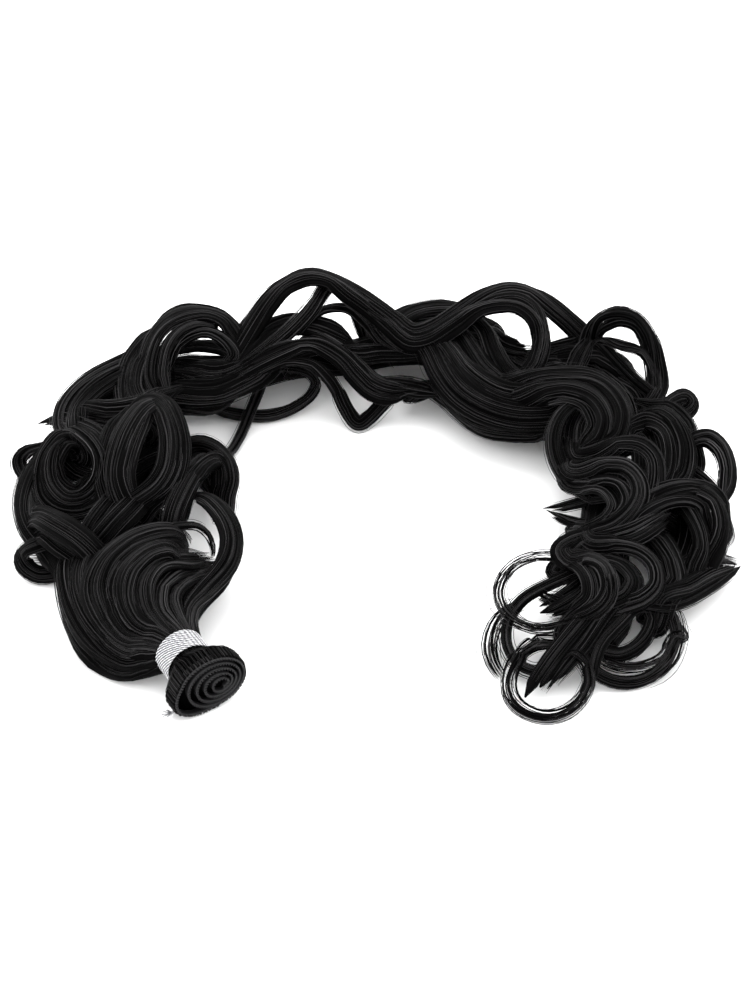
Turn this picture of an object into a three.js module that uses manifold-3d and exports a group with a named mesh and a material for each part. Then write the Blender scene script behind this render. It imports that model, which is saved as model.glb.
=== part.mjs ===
// A hand-tied hair weft as it is sold: the sewn track rolled up into a spiral, the hair that hangs from it
// gathered into a neck and bound with a wound cord, and the long curly tress laid in a horseshoe on a table.
// Millimetres, +Z up, the table is Z = 0.
import * as THREE from "three";
import { mergeVertices } from "three/addons/utils/BufferGeometryUtils.js";
import Module from "manifold-3d";

const wasm = await Module();
wasm.setup();

// The middle of the laid object's box, which becomes the part's origin.
const MIDDLE = { x: -2.47, y: 11.14 };

// The neck: the middle of the cord binding, and the bearing in which the hair leaves it.
const NECK = { x: -64, y: -88, z: 14, bearing: 121 };

// The rolled track: a sewn band wound into an oval spiral, lying lower than the neck and to one side of it.
const TRACK = {
  thick: 1.0,
  width: 3.2,
  turns: 5,
  innerRadius: 1.6,
  outerRadius: 13,
  squash: 0.85,
  eyeSide: -3.2,
  eyeDrop: -1.6,
  startAngle: -96,
  startTuck: 1.0,
  bulgeTurn: 0.17,
  bulgeSpan: 0.16,
  bulge: 2.8,
  stepsPerTurn: 22,
  side: -3.5,
  drop: -2.7,
  back: -10.8,
};

// The binding: one cord wound round the neck, with a short free tail that reaches the table.
const CORD = { diameter: 1.0, pitch: 1.04, turns: 9, coilRadius: 8.0, sides: 6, stepsPerTurn: 14 };
const TAIL = [
  { side: 2.6, up: -9.4, along: -5.2 },
  { side: 6.6, up: -12.2, along: -6.2 },
  { side: 10.2, up: -13.3, along: -8.4 },
  { side: 12.6, up: -13.4, along: -11.6 },
];

// The head of the hair: sections from the track, through the binding and out into the fan.
const GAP = 0.3;
const HEAD_SIDES = 20;
const HEAD = [
  { at: TRACK.back + GAP, wide: 12.6, high: 10.6, side: TRACK.side, up: TRACK.drop },
  { at: -8.4, wide: 11.9, high: 10.1, side: -2.6, up: -2.4 },
  { at: -5.6, wide: 7.2, high: 7.2, side: 0, up: 0 },
  { at: 5.6, wide: 7.2, high: 7.2, side: 0, up: 0 },
  { at: 11, wide: 12, high: 8.4, side: 2, up: -0.4 },
  { at: 22, wide: 19.5, high: 9, side: 4, up: 0 },
  { at: 36, wide: 27, high: 9.4, side: 1.5, up: 0.6 },
  { at: 50, wide: 31, high: 8.6, side: -4, up: 1.4 },
  { at: 62, wide: 30, high: 5, side: -7.6, up: 2 },
];

// The view in which the locks are drawn: from the front of the horseshoe, looking down at it. The eye is a distance
// from a point over the middle of the horseshoe, and units is the size of the drawing for one distance away.
const VIEW = { elevation: 36, distance: 725, aim: 16, units: 1944.4, across: 375, down: 500 };

// The tress underneath: thick locks that lie on the table and carry the others. Each lock has its breadth, its
// depth, and its path: across and down in the view, and height over the table.
const UNDER_LOCKS = [
  { width: 17, thick: 17, path: [[66, 572, 8], [50, 526, 8], [50, 486, 8], [70, 450, 8], [104, 420, 8], [148, 396, 8], [198, 380, 8], [244, 373, 8]] },
  { width: 17, thick: 19, path: [[112, 576, 9], [106, 532, 9], [114, 494, 9], [136, 464, 9], [166, 442, 9]] },
  { width: 10, thick: 13, path: [[214, 500, 6], [216, 480, 6], [203, 464, 7], [178, 466, 8], [150, 480, 9]] },
  { width: 13, thick: 17, path: [[196, 386, 8], [244, 374, 8], [292, 362, 8], [342, 359, 8], [392, 349, 8], [438, 352, 8], [466, 386, 8]] },
  { width: 18, thick: 17, path: [[436, 350, 8], [462, 390, 8], [502, 412, 8], [550, 421, 8], [594, 432, 8]] },
  { width: 18, thick: 19, path: [[560, 420, 9], [592, 450, 9], [604, 492, 9], [604, 534, 9], [606, 574, 8], [608, 616, 7], [602, 646, 6]] },
  { width: 17, thick: 17, path: [[588, 396, 8], [640, 414, 8], [668, 452, 8], [680, 494, 8], [692, 530, 8], [690, 562, 7], [672, 588, 7], [642, 604, 7]] },
];

// The locks that show, from the fan to the rings at the tip.
const LOCKS = [
  // the loop and the swirl that leave the fan
  { width: 10, path: [[188, 628, 14], [198, 604, 15], [214, 588, 16], [229, 570, 17], [237, 549, 20], [236, 528, 22], [226, 511, 23], [209, 500, 23], [188, 500, 20], [172, 512, 15]] },
  { width: 13, path: [[104, 600, 17], [98, 580, 21], [110, 556, 25], [134, 538, 26], [162, 528, 26], [188, 531, 23], [206, 544, 18], [214, 560, 11]] },
  { width: 13, path: [[24, 486, 19], [34, 507, 22], [52, 521, 25], [74, 534, 25], [94, 552, 20], [106, 572, 13]] },
  { width: 5, path: [[80, 560, 7], [56, 572, 4], [38, 575, 3], [23, 567, 5], [19, 555, 9], [28, 543, 13], [48, 537, 14], [70, 540, 12]] },
  { width: 9, path: [[56, 446, 18], [34, 468, 18], [27, 492, 18], [30, 520, 16], [46, 545, 11]] },
  { width: 4, path: [[66, 444, 18], [42, 446, 17], [22, 451, 14], [16, 463, 11], [34, 482, 12]] },
  // the rings and coils of the near side
  { width: 9, path: [[50, 424, 32], [74, 428, 34], [93, 443, 33], [101, 463, 29], [96, 486, 23], [76, 501, 18], [54, 488, 19], [48, 464, 24], [60, 440, 28]] },
  { width: 13, path: [[194, 404, 31], [166, 398, 35], [140, 412, 36], [125, 440, 34], [120, 470, 30], [126, 498, 23], [140, 516, 15]] },
  { width: 12, path: [[160, 404, 34], [176, 424, 35], [183, 448, 33], [179, 472, 29], [162, 492, 25], [136, 508, 18]] },
  { width: 10, path: [[208, 458, 22], [190, 478, 25], [178, 500, 24], [172, 520, 20], [170, 540, 12]] },
  { width: 7, path: [[180, 446, 20], [199, 435, 24], [218, 442, 25], [231, 460, 24], [233, 482, 20], [226, 502, 14], [206, 508, 9]] },
  { width: 4.5, path: [[268, 390, 9], [256, 414, 5], [246, 435, 2.5], [234, 452, 2.5], [214, 464, 6]] },
  { width: 11, path: [[242, 346, 24], [226, 322, 33], [201, 313, 37], [174, 319, 37], [154, 338, 35], [145, 366, 31], [150, 398, 24]] },
  { width: 12, path: [[158, 328, 29], [136, 352, 31], [124, 384, 27], [134, 416, 22]] },
  { width: 12, path: [[156, 362, 20], [122, 366, 25], [88, 384, 25], [68, 406, 23], [66, 430, 20]] },
  { width: 12, path: [[54, 420, 21], [88, 414, 26], [124, 413, 29], [158, 399, 30], [190, 388, 28]] },
  // the waves over the top
  { width: 10, path: [[232, 352, 23], [248, 322, 33], [266, 296, 40], [290, 280, 44], [318, 277, 45], [344, 287, 42], [368, 305, 37], [390, 327, 31], [412, 340, 27], [434, 336, 28], [458, 321, 33], [482, 308, 38], [506, 304, 40], [526, 312, 38], [539, 332, 33], [536, 358, 27], [520, 384, 20]] },
  { width: 6, path: [[450, 318, 30], [480, 298, 37], [508, 289, 40], [531, 294, 39], [553, 309, 35], [572, 325, 29], [590, 344, 22]] },
  { width: 10, path: [[206, 396, 17], [236, 374, 22], [264, 354, 27], [290, 336, 31], [310, 316, 35], [326, 300, 37], [346, 296, 37], [366, 310, 33]] },
  { width: 7, path: [[202, 400, 14], [232, 386, 17], [260, 371, 21], [288, 362, 24], [312, 365, 23], [330, 379, 18], [344, 402, 9], [358, 423, 3.5], [372, 415, 4.5], [388, 399, 9], [414, 388, 13], [444, 396, 12]] },
  { width: 5.5, path: [[194, 402, 8], [230, 413, 3], [262, 416, 2.5], [288, 411, 2.5], [309, 397, 6], [314, 382, 12], [300, 370, 18]] },
  { width: 12, path: [[362, 332, 20], [394, 317, 25], [424, 309, 27], [456, 310, 26], [486, 328, 20]] },
  { width: 15, path: [[438, 346, 26], [452, 376, 25], [478, 400, 23], [514, 411, 22], [552, 409, 22], [580, 400, 22]] },
  { width: 9, path: [[414, 388, 10], [448, 402, 9], [468, 419, 7], [494, 431, 6], [528, 434, 8], [560, 430, 13]] },
  { width: 9, path: [[466, 316, 28], [487, 334, 30], [498, 358, 28], [516, 380, 25], [544, 392, 22]] },
  { width: 6, path: [[524, 358, 18], [552, 348, 21], [576, 340, 23], [598, 330, 25]] },
  { width: 6, path: [[582, 360, 20], [588, 336, 29], [601, 318, 37], [619, 312, 42], [638, 319, 41], [653, 341, 36], [660, 366, 29], [658, 392, 22]] },
  { width: 6, path: [[580, 338, 24], [604, 348, 27], [626, 370, 25], [652, 396, 22]] },
  { width: 6, path: [[644, 412, 24], [664, 399, 28], [682, 391, 29], [692, 401, 27], [680, 420, 21]] },
  // the curls of the far side
  { width: 14, path: [[504, 396, 24], [534, 384, 29], [566, 380, 33], [596, 387, 34], [615, 408, 33], [613, 434, 30], [594, 456, 25]] },
  { width: 8, path: [[600, 398, 26], [574, 404, 28], [557, 424, 27], [554, 450, 23], [564, 474, 19], [588, 494, 15]] },
  { width: 13, path: [[566, 472, 22], [592, 459, 28], [620, 453, 31], [642, 462, 31], [649, 486, 28], [638, 512, 24], [612, 530, 20]] },
  { width: 12, path: [[628, 418, 27], [656, 413, 31], [676, 430, 31], [682, 458, 27], [672, 490, 20]] },
  { width: 5, path: [[676, 450, 22], [693, 437, 27], [710, 434, 29], [724, 446, 28], [731, 466, 24], [730, 488, 18], [716, 504, 13]] },
  { width: 5.5, path: [[670, 458, 19], [692, 471, 20], [708, 483, 19], [724, 497, 15]] },
  { width: 11, path: [[612, 524, 20], [644, 503, 24], [676, 493, 25], [706, 496, 21], [726, 510, 14]] },
  { width: 12, path: [[692, 494, 21], [712, 514, 20], [714, 542, 15], [700, 572, 9]] },
  { width: 9, path: [[572, 544, 17], [606, 540, 23], [640, 529, 25], [676, 510, 22]] },
  { width: 5, path: [[612, 502, 13], [584, 505, 11], [562, 509, 9], [543, 510, 7]], free: true },
  { width: 9, path: [[630, 604, 12], [664, 602, 11], [692, 592, 9], [716, 578, 7], [738, 565, 5]], free: true },
  { width: 10, path: [[560, 546, 15], [588, 552, 20], [606, 570, 22], [608, 594, 19], [590, 616, 13]] },
  { width: 9, path: [[590, 546, 21], [622, 548, 24], [648, 560, 24], [653, 582, 21], [632, 602, 16], [602, 620, 11]] },
  // the open rings at the tip
  { width: 4.5, path: [[584, 566, 15], [564, 557, 16], [542, 555, 17], [520, 562, 19], [503, 580, 18], [498, 602, 14], [511, 620, 9], [538, 630, 6], [572, 625, 6], [602, 608, 9]] },
  { width: 5, path: [[502, 615, 9], [522, 600, 10], [544, 586, 13], [570, 572, 16], [598, 560, 18]] },
  { width: 4.5, path: [[526, 610, 9], [508, 625, 7], [505, 644, 5], [513, 662, 3], [530, 671, 2.5], [550, 667, 4], [574, 640, 8]] },
  { width: 8, path: [[606, 602, 13], [588, 628, 11], [568, 654, 8], [547, 679, 4.5], [526, 702, 2.5]], free: true },
  { width: 4.5, path: [[526, 660, 6], [512, 680, 5], [515, 700, 3], [532, 713, 2], [554, 714, 2], [577, 703, 3], [590, 684, 5], [586, 660, 8], [570, 636, 9]] },
  { width: 5, path: [[588, 644, 8], [595, 668, 5], [614, 681, 2.5], [638, 683, 2], [660, 672, 3], [676, 652, 5], [680, 630, 8], [668, 608, 9]] },
];
const LOCK_THICK = { least: 2.6, share: 0.26 }; // a lock's depth grows with its breadth
const LOCK_END = 0.7; // share of its breadth that a lock keeps at its ends
const LOCK_STEP = 12.8;
const FAN_AXIS = [22, 30, 38, 46, 54]; // places in the fan, along the neck, from which a lock may grow
const CARRIER_STEPS = 30;
const ROOT_DEPTH = 4;
const GOLDEN = 0.618;
const ROOTED_WITHIN = 4; // an end this near to the middle of a carrying lock needs no leading in
const LOCK_FACE = new THREE.Vector3(0, -0.5, 0.87); // the way a straight lock's flat side looks
const CURL_FACE = { reach: 26, share: 0.55 }; // a tight curl turns its flat side outwards
const WELD = 1e-3; // points nearer than this are one point
const UP = new THREE.Vector3(0, 0, 1);

const hairBlack = new THREE.MeshStandardMaterial({ color: 0x141415, roughness: 0.42, metalness: 0 });
const trackBlack = new THREE.MeshStandardMaterial({ color: 0x101011, roughness: 0.7, metalness: 0 });
const silverCord = new THREE.MeshStandardMaterial({ color: 0xd4d4d6, roughness: 0.4, metalness: 0.3 });

// A closed solid through rings of points, each ring in the same turning order, with flat ends.
function loft(rings) {
  const count = rings[0].length;
  const points = rings.flat();
  const faces = [];
  for (let i = 0; i + 1 < rings.length; i++) {
    for (let j = 0; j < count; j++) {
      const k = (j + 1) % count;
      const [a, b, c, d] = [i * count + j, i * count + k, (i + 1) * count + k, (i + 1) * count + j];
      faces.push(a, b, c, a, c, d);
    }
  }
  const last = (rings.length - 1) * count;
  for (let j = 1; j + 1 < count; j++) {
    faces.push(0, j + 1, j);
    faces.push(last, last + j, last + j + 1);
  }
  const made = new THREE.BufferGeometry().setFromPoints(points);
  made.setIndex(faces);
  return made;
}

function toSolid(geometry) {
  const bare = geometry.clone();
  bare.deleteAttribute("normal");
  bare.deleteAttribute("uv");
  const merged = mergeVertices(bare, WELD);
  const vertProperties = new Float32Array(merged.attributes.position.array);
  const triVerts = new Uint32Array(merged.index.array);
  return new wasm.Manifold(new wasm.Mesh({ numProp: 3, vertProperties, triVerts }));
}

function toGeometry(solid) {
  const mesh = solid.getMesh();
  const made = new THREE.BufferGeometry();
  made.setAttribute("position", new THREE.BufferAttribute(new Float32Array(mesh.vertProperties), 3));
  made.setIndex(new THREE.BufferAttribute(new Uint32Array(mesh.triVerts), 1));
  made.computeVertexNormals();
  return made;
}

function named(name, geometry, material) {
  const mesh = new THREE.Mesh(geometry, material);
  mesh.name = name;
  return mesh;
}

// The neck's own frame: +Z along the hair, +Y up, +X to the outside of the horseshoe.
const neck = new THREE.Group();
neck.position.set(NECK.x, NECK.y, NECK.z);
const hairward = new THREE.Vector3(1, 0, 0).applyAxisAngle(UP, THREE.MathUtils.degToRad(NECK.bearing));
neck.quaternion.setFromRotationMatrix(
  new THREE.Matrix4().makeBasis(new THREE.Vector3().crossVectors(UP, hairward), UP, hairward),
);
neck.updateMatrix();

// The track: a band of even thickness along an oval spiral, whose last turn bulges away from the roll near
// its end.
function trackLine(turn) {
  const angle = THREE.MathUtils.degToRad(TRACK.startAngle + 360 * turn);
  const share = turn / TRACK.turns;
  const wound = THREE.MathUtils.lerp(TRACK.outerRadius, TRACK.innerRadius, share);
  const near = Math.max(0, 1 - Math.abs(turn - TRACK.bulgeTurn) / TRACK.bulgeSpan);
  const tuck = TRACK.startTuck * Math.max(0, 1 - turn / TRACK.bulgeTurn);
  const radius = wound - tuck + TRACK.bulge * THREE.MathUtils.smoothstep(near, 0, 1);
  return new THREE.Vector2(
    TRACK.side + TRACK.eyeSide * share + radius * Math.cos(angle),
    TRACK.drop + TRACK.eyeDrop * share + TRACK.squash * radius * Math.sin(angle),
  );
}

function weftTrack() {
  const steps = TRACK.turns * TRACK.stepsPerTurn;
  const outer = [];
  const inner = [];
  for (let i = 0; i <= steps; i++) {
    const turn = (TRACK.turns * i) / steps;
    const nudge = 0.5 / TRACK.stepsPerTurn;
    const along = trackLine(turn + nudge).sub(trackLine(turn - nudge)).normalize();
    const out = new THREE.Vector2(along.y, -along.x).multiplyScalar(TRACK.thick / 2);
    outer.push(trackLine(turn).add(out));
    inner.push(trackLine(turn).sub(out));
  }
  const band = new THREE.Shape([...outer, ...inner.reverse()]);
  const made = new THREE.ExtrudeGeometry(band, { depth: TRACK.width, bevelEnabled: false });
  return made.translate(0, 0, TRACK.back - TRACK.width);
}

// The binding: the coils, then the tail, as one cord.
function tieCord() {
  const coils = CORD.turns * CORD.stepsPerTurn;
  const points = [];
  for (let i = 0; i <= coils; i++) {
    const angle = (2 * Math.PI * (i - coils)) / CORD.stepsPerTurn - Math.PI / 2;
    const along = CORD.pitch * CORD.turns * (0.5 - i / coils);
    const [x, y] = [CORD.coilRadius * Math.cos(angle), CORD.coilRadius * Math.sin(angle)];
    points.push(new THREE.Vector3(x, y, along));
  }
  points.push(...TAIL.map((p) => new THREE.Vector3(p.side, p.up, p.along)));
  const rings = points.map((point, i) => {
    const before = points[Math.max(i - 1, 0)];
    const after = points[Math.min(i + 1, points.length - 1)];
    const along = new THREE.Vector3().subVectors(after, before).normalize();
    const across = new THREE.Vector3(point.x, point.y, 0).cross(along).normalize();
    const out = new THREE.Vector3().crossVectors(along, across);
    return Array.from({ length: CORD.sides }, (_, j) => {
      const angle = (2 * Math.PI * j) / CORD.sides;
      return point
        .clone()
        .addScaledVector(across, (CORD.diameter / 2) * Math.cos(angle))
        .addScaledVector(out, (CORD.diameter / 2) * Math.sin(angle));
    });
  });
  return loft(rings);
}

function hairHead() {
  const rings = HEAD.map((row) =>
    Array.from({ length: HEAD_SIDES }, (_, j) => {
      const angle = (2 * Math.PI * j) / HEAD_SIDES;
      return new THREE.Vector3(
        row.side + row.wide * Math.cos(angle),
        row.up + row.high * Math.sin(angle),
        row.at,
      );
    }),
  );
  return loft(rings).applyMatrix4(neck.matrix);
}

// The point at a height over the table that lies at a place in the view.
function drawnAt([across, down, height]) {
  const tilt = THREE.MathUtils.degToRad(VIEW.elevation);
  const back = new THREE.Vector3(0, -Math.cos(tilt), Math.sin(tilt));
  const rise = new THREE.Vector3(0, Math.sin(tilt), Math.cos(tilt));
  const eye = new THREE.Vector3(0, 0, VIEW.aim).addScaledVector(back, VIEW.distance);
  const look = new THREE.Vector3((across - VIEW.across) / VIEW.units, 0, 0);
  look.addScaledVector(rise, (VIEW.down - down) / VIEW.units).sub(back);
  return eye.addScaledVector(look, (height - eye.z) / look.z);
}

function smoothLine(points) {
  const line = new THREE.CatmullRomCurve3(points, false, "catmullrom");
  line.arcLengthDivisions = 400;
  return line;
}

// What the locks grow out of: the middle of the fan, and the tress underneath.
const carriers = FAN_AXIS.map((at) => new THREE.Vector3(0, 0, at).applyMatrix4(neck.matrix));
for (const { path } of UNDER_LOCKS) {
  carriers.push(...smoothLine(path.map(drawnAt)).getSpacedPoints(CARRIER_STEPS));
}

// A lock's path with its ends led into the tress, each lock to a depth of its own. A free end is left as it is.
function rooted({ path, free }, number) {
  const points = path.map(drawnAt);
  const depth = ROOT_DEPTH * ((number * GOLDEN) % 1);
  const root = (p) => {
    const carrier = carriers.reduce((a, b) => (a.distanceTo(p) < b.distanceTo(p) ? a : b));
    return carrier.clone().addScaledVector(UP, -depth);
  };
  const [first, last] = [root(points[0]), root(points.at(-1))];
  if (first.distanceTo(points[0]) > ROOTED_WITHIN) points.unshift(first);
  if (!free && last.distanceTo(points.at(-1)) > ROOTED_WITHIN) points.push(last);
  return points;
}

// One lock: a flat four-sided section carried along its path, a little narrower at both ends.
function hairLock({ width, thick }, points) {
  const line = smoothLine(points);
  const steps = Math.max(3, Math.round(line.getLength() / LOCK_STEP));
  const deep = (thick ?? LOCK_THICK.least + LOCK_THICK.share * width) / 2;
  const rings = [];
  for (let i = 0; i <= steps; i++) {
    const share = i / steps;
    const along = line.getTangentAt(share);
    const span = 0.5 / steps;
    const [before, after] = [Math.max(0, share - span), Math.min(1, share + span)];
    const bend = line.getTangentAt(before).sub(line.getTangentAt(after));
    const tight = bend.length() / ((after - before) * line.getLength());
    const weight = CURL_FACE.share * Math.min(1, tight * CURL_FACE.reach);
    const proud = LOCK_FACE.clone().multiplyScalar(1 - weight).addScaledVector(bend.normalize(), weight);
    proud.addScaledVector(along, -proud.dot(along)).normalize();
    const across = new THREE.Vector3().crossVectors(proud, along);
    const half = (width / 2) * (i === 0 || i === steps ? LOCK_END : 1);
    const centre = line.getPointAt(share);
    rings.push(
      [[1, 0], [0, 1], [-1, 0], [0, -1]].map(([a, b]) =>
        centre.clone().addScaledVector(across, a * half).addScaledVector(proud, b * deep),
      ),
    );
  }
  return loft(rings);
}

// The outermost of a solid's shells, without the crumbs that lie loose or sealed in where locks cross.
function outerShell(solid) {
  return solid.decompose().reduce((a, b) => (a.volume() > b.volume() ? a : b));
}

// The hair is one piece: every lock grows out of the head and the tress, and the table flattens what lies on it.
function hairTress() {
  const table = new THREE.BoxGeometry(600, 600, 40).translate(0, 0, -20);
  const under = UNDER_LOCKS.map((lock) => hairLock(lock, lock.path.map(drawnAt)));
  const shown = LOCKS.map((lock, number) => hairLock(lock, rooted(lock, number)));
  const fused = wasm.Manifold.union([hairHead(), ...under, ...shown].map(toSolid));
  const laid = toGeometry(outerShell(fused.subtract(toSolid(table)))).translate(-MIDDLE.x, -MIDDLE.y, 0);
  return toGeometry(outerShell(toSolid(toGeometry(outerShell(toSolid(laid))))));
}

neck.add(named("weft_track", weftTrack(), trackBlack));
neck.add(named("tie_cord", tieCord(), silverCord));
const hairWeft = new THREE.Group();
hairWeft.position.set(-MIDDLE.x, -MIDDLE.y, 0);
hairWeft.add(neck);

const part = new THREE.Group();
part.add(hairWeft);
part.add(named("hair_tress", hairTress(), hairBlack));
export default part;
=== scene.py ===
import math

import bpy
import numpy as np
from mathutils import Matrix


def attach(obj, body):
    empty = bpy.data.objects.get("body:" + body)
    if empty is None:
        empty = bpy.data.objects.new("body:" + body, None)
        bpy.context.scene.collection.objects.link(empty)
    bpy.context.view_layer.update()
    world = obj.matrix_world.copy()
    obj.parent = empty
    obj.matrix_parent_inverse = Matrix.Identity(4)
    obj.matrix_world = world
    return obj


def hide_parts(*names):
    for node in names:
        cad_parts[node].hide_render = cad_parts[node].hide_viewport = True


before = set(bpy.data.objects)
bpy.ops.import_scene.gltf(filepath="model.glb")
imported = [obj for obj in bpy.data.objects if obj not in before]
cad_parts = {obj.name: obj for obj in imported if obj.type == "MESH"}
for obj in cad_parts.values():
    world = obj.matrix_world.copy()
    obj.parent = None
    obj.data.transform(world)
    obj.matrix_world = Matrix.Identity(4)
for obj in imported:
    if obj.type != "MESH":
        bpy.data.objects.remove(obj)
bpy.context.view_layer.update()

# The camera: it looks at the bundle from the front and above. The locks of the hair are drawn as it sees them.
CAMERA_ELEVATION = math.radians(36)
CAMERA_DISTANCE = 0.725  # metres
CAMERA_LENS = 70  # mm
CAMERA_AIM = np.array((0.00247, -0.01114, 0.016))
CAMERA_BACK = np.array((0, -math.cos(CAMERA_ELEVATION), math.sin(CAMERA_ELEVATION)))
CAMERA_UP = np.array((0, math.sin(CAMERA_ELEVATION), math.cos(CAMERA_ELEVATION)))
CAMERA_EYE = CAMERA_AIM + CAMERA_DISTANCE * CAMERA_BACK
optics = bpy.data.cameras.new("camera")
optics.lens = CAMERA_LENS
camera = bpy.data.objects.new("camera", optics)
camera.location = CAMERA_EYE
camera.rotation_euler = (math.pi / 2 - CAMERA_ELEVATION, 0, 0)
bpy.context.scene.collection.objects.link(camera)
bpy.context.scene.camera = camera

# The rolled track. Hair is knotted and machine sewn along two threads into a narrow band, and the band is rolled
# up for sale, sewn edge outwards. Here is the band itself, wound into an oval spiral with a loose last turn.
MM = 0.001
UP = np.array((0.0, 0.0, 1.0))
NECK_PLACE = np.array((-61.53, -99.14, 14.0)) * MM  # the middle of the binding, where the hair is gathered
NECK_BEARING = math.radians(121)
HAIRWARD = np.array((math.cos(NECK_BEARING), math.sin(NECK_BEARING), 0.0))
OUTSIDE = np.cross(UP, HAIRWARD)

ROLL_TURNS = 5
ROLL_RADII = (13.0 * MM, 1.6 * MM)  # outermost turn, innermost turn
ROLL_SQUASH = 0.85
ROLL_SIDE, ROLL_DROP = -3.5 * MM, -2.7 * MM
ROLL_EYE = (-3.7 * MM, -1.6 * MM)  # the eye of the spiral lies off the middle
ROLL_START = math.radians(-96)
ROLL_TUCK = 1.0 * MM  # the band's free end lies this much further in
ROLL_BULGE, BULGE_TURN, BULGE_SPAN = 2.8 * MM, 0.17, 0.16  # and beside it the loose turn springs out, placed in turns
ROLL_BACK = -10.8 * MM  # the roll's inner edge, along the neck
BAND_WIDTH = 3.2 * MM
BAND_HALF_THICK = 0.28 * MM
BAND_STEPS = 64


def hex_linear(code):
    """The linear colour of an sRGB hex value."""
    parts = [int(code[i:i + 2], 16) / 255 for i in (1, 3, 5)]
    return tuple(p / 12.92 if p <= 0.04045 else ((p + 0.055) / 1.055) ** 2.4 for p in parts) + (1.0,)


def add_node(tree, kind, links=None, **settings):
    """Adds a node: settings are its own properties, links map an input to a node, a socket or a plain value."""
    node = tree.nodes.new(kind)
    for key, value in settings.items():
        setattr(node, key, value)
    for key, value in (links or {}).items():
        if isinstance(value, bpy.types.Node):
            value = value.outputs[0]
        if isinstance(value, bpy.types.NodeSocket):
            tree.links.new(value, node.inputs[key])
        else:
            node.inputs[key].default_value = value
    return node


def new_material(name):
    """A bare material with a Principled shader, its node tree, and that shader."""
    made = bpy.data.materials.new(name)
    made.use_nodes = True
    made.node_tree.nodes.clear()
    shader = add_node(made.node_tree, "ShaderNodeBsdfPrincipled")
    add_node(made.node_tree, "ShaderNodeOutputMaterial", {"Surface": shader.outputs["BSDF"]})
    return made, made.node_tree, shader


def place(side, up, along):
    """Points given in the neck's own frame, in the part's frame."""
    side, up, along = np.broadcast_arrays(side, up, along)
    return NECK_PLACE + side[..., None] * OUTSIDE + up[..., None] * UP + along[..., None] * HAIRWARD


def smooth(x):
    """A soft step from 0 to 1."""
    x = np.clip(x, 0, 1)
    return x * x * (3 - 2 * x)


def roll_line(turn):
    """The band's middle line in the roll, as side and up, from the outer end inwards."""
    angle = ROLL_START + 2 * np.pi * turn
    share = turn / ROLL_TURNS
    radius = ROLL_RADII[0] + (ROLL_RADII[1] - ROLL_RADII[0]) * share
    radius = radius - ROLL_TUCK * np.maximum(0, 1 - turn / BULGE_TURN)
    radius = radius + ROLL_BULGE * smooth(1 - abs(turn - BULGE_TURN) / BULGE_SPAN)
    side = ROLL_SIDE + ROLL_EYE[0] * share + radius * np.cos(angle)
    return side, ROLL_DROP + ROLL_EYE[1] * share + ROLL_SQUASH * radius * np.sin(angle)


def roll_out(turn):
    """The direction out of the roll, square to the band."""
    ahead, behind = roll_line(turn + 0.01), roll_line(turn - 0.01)
    run = np.stack([ahead[0] - behind[0], ahead[1] - behind[1]], -1)
    run /= np.linalg.norm(run, axis=-1, keepdims=True)
    return run[..., 1], -run[..., 0]


def swept(name, rings, material):
    """A closed tube through rings of points, each ring turning the same way round."""
    count, around = rings.shape[:2]
    index = np.arange(count * around).reshape(count, around)
    a, b = index[:-1], np.roll(index[:-1], -1, axis=1)
    c, d = np.roll(index[1:], -1, axis=1), index[1:]
    faces = np.stack([a, b, c, d], -1).reshape(-1, 4).tolist()
    faces += [index[0, ::-1].tolist(), index[-1].tolist()]
    mesh = bpy.data.meshes.new(name)
    mesh.from_pydata(rings.reshape(-1, 3).tolist(), [], faces)
    mesh.materials.append(material)
    mesh.shade_smooth()
    made = bpy.data.objects.new(name, mesh)
    bpy.context.scene.collection.objects.link(made)
    return made


# Black polyester sewing thread over knotted hair: matt, with a dull shine on each turn of the thread. Its fuzz is
# about 0.6 mm from fleck to fleck.
sewing_thread, thread_tree, thread_shader = new_material("black_sewing_thread")
thread_place = add_node(thread_tree, "ShaderNodeTexCoord")
thread_fuzz = add_node(
    thread_tree, "ShaderNodeTexNoise",
    {"Vector": thread_place.outputs["Object"], "Scale": 1.0 / (0.625 * MM), "Detail": 2.0},
)
thread_colour = add_node(thread_tree, "ShaderNodeValToRGB", {"Fac": thread_fuzz.outputs["Fac"]})
thread_colour.color_ramp.elements[0].color = hex_linear("#050505")
thread_colour.color_ramp.elements[1].color = hex_linear("#212022")
thread_bump = add_node(
    thread_tree, "ShaderNodeBump",
    {"Height": thread_fuzz.outputs["Fac"], "Strength": 0.5, "Distance": 0.0001},
)
thread_tree.links.new(thread_colour.outputs["Color"], thread_shader.inputs["Base Color"])
thread_tree.links.new(thread_bump.outputs["Normal"], thread_shader.inputs["Normal"])
thread_shader.inputs["Roughness"].default_value = 0.5
thread_shader.inputs["Specular IOR Level"].default_value = 0.35

band_turn = np.linspace(0, ROLL_TURNS, ROLL_TURNS * BAND_STEPS + 1)
band_line, band_out = np.stack(roll_line(band_turn)), np.stack(roll_out(band_turn))
BAND_SECTION = [  # share of the half thickness, mm from the sewn edge
    (1, 0.8), (0.7, 0.5), (-0.7, 0.5), (-1, 0.8), (-1, 3.2), (1, 3.2),
]
band_rings = np.stack([
    place(*(band_line + share * BAND_HALF_THICK * band_out), ROLL_BACK - BAND_WIDTH + depth * MM)
    for share, depth in BAND_SECTION
], axis=1)
weft_band = swept("weft_band", band_rings, sewing_thread)
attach(weft_band, "root")
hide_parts("weft_track")

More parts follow.
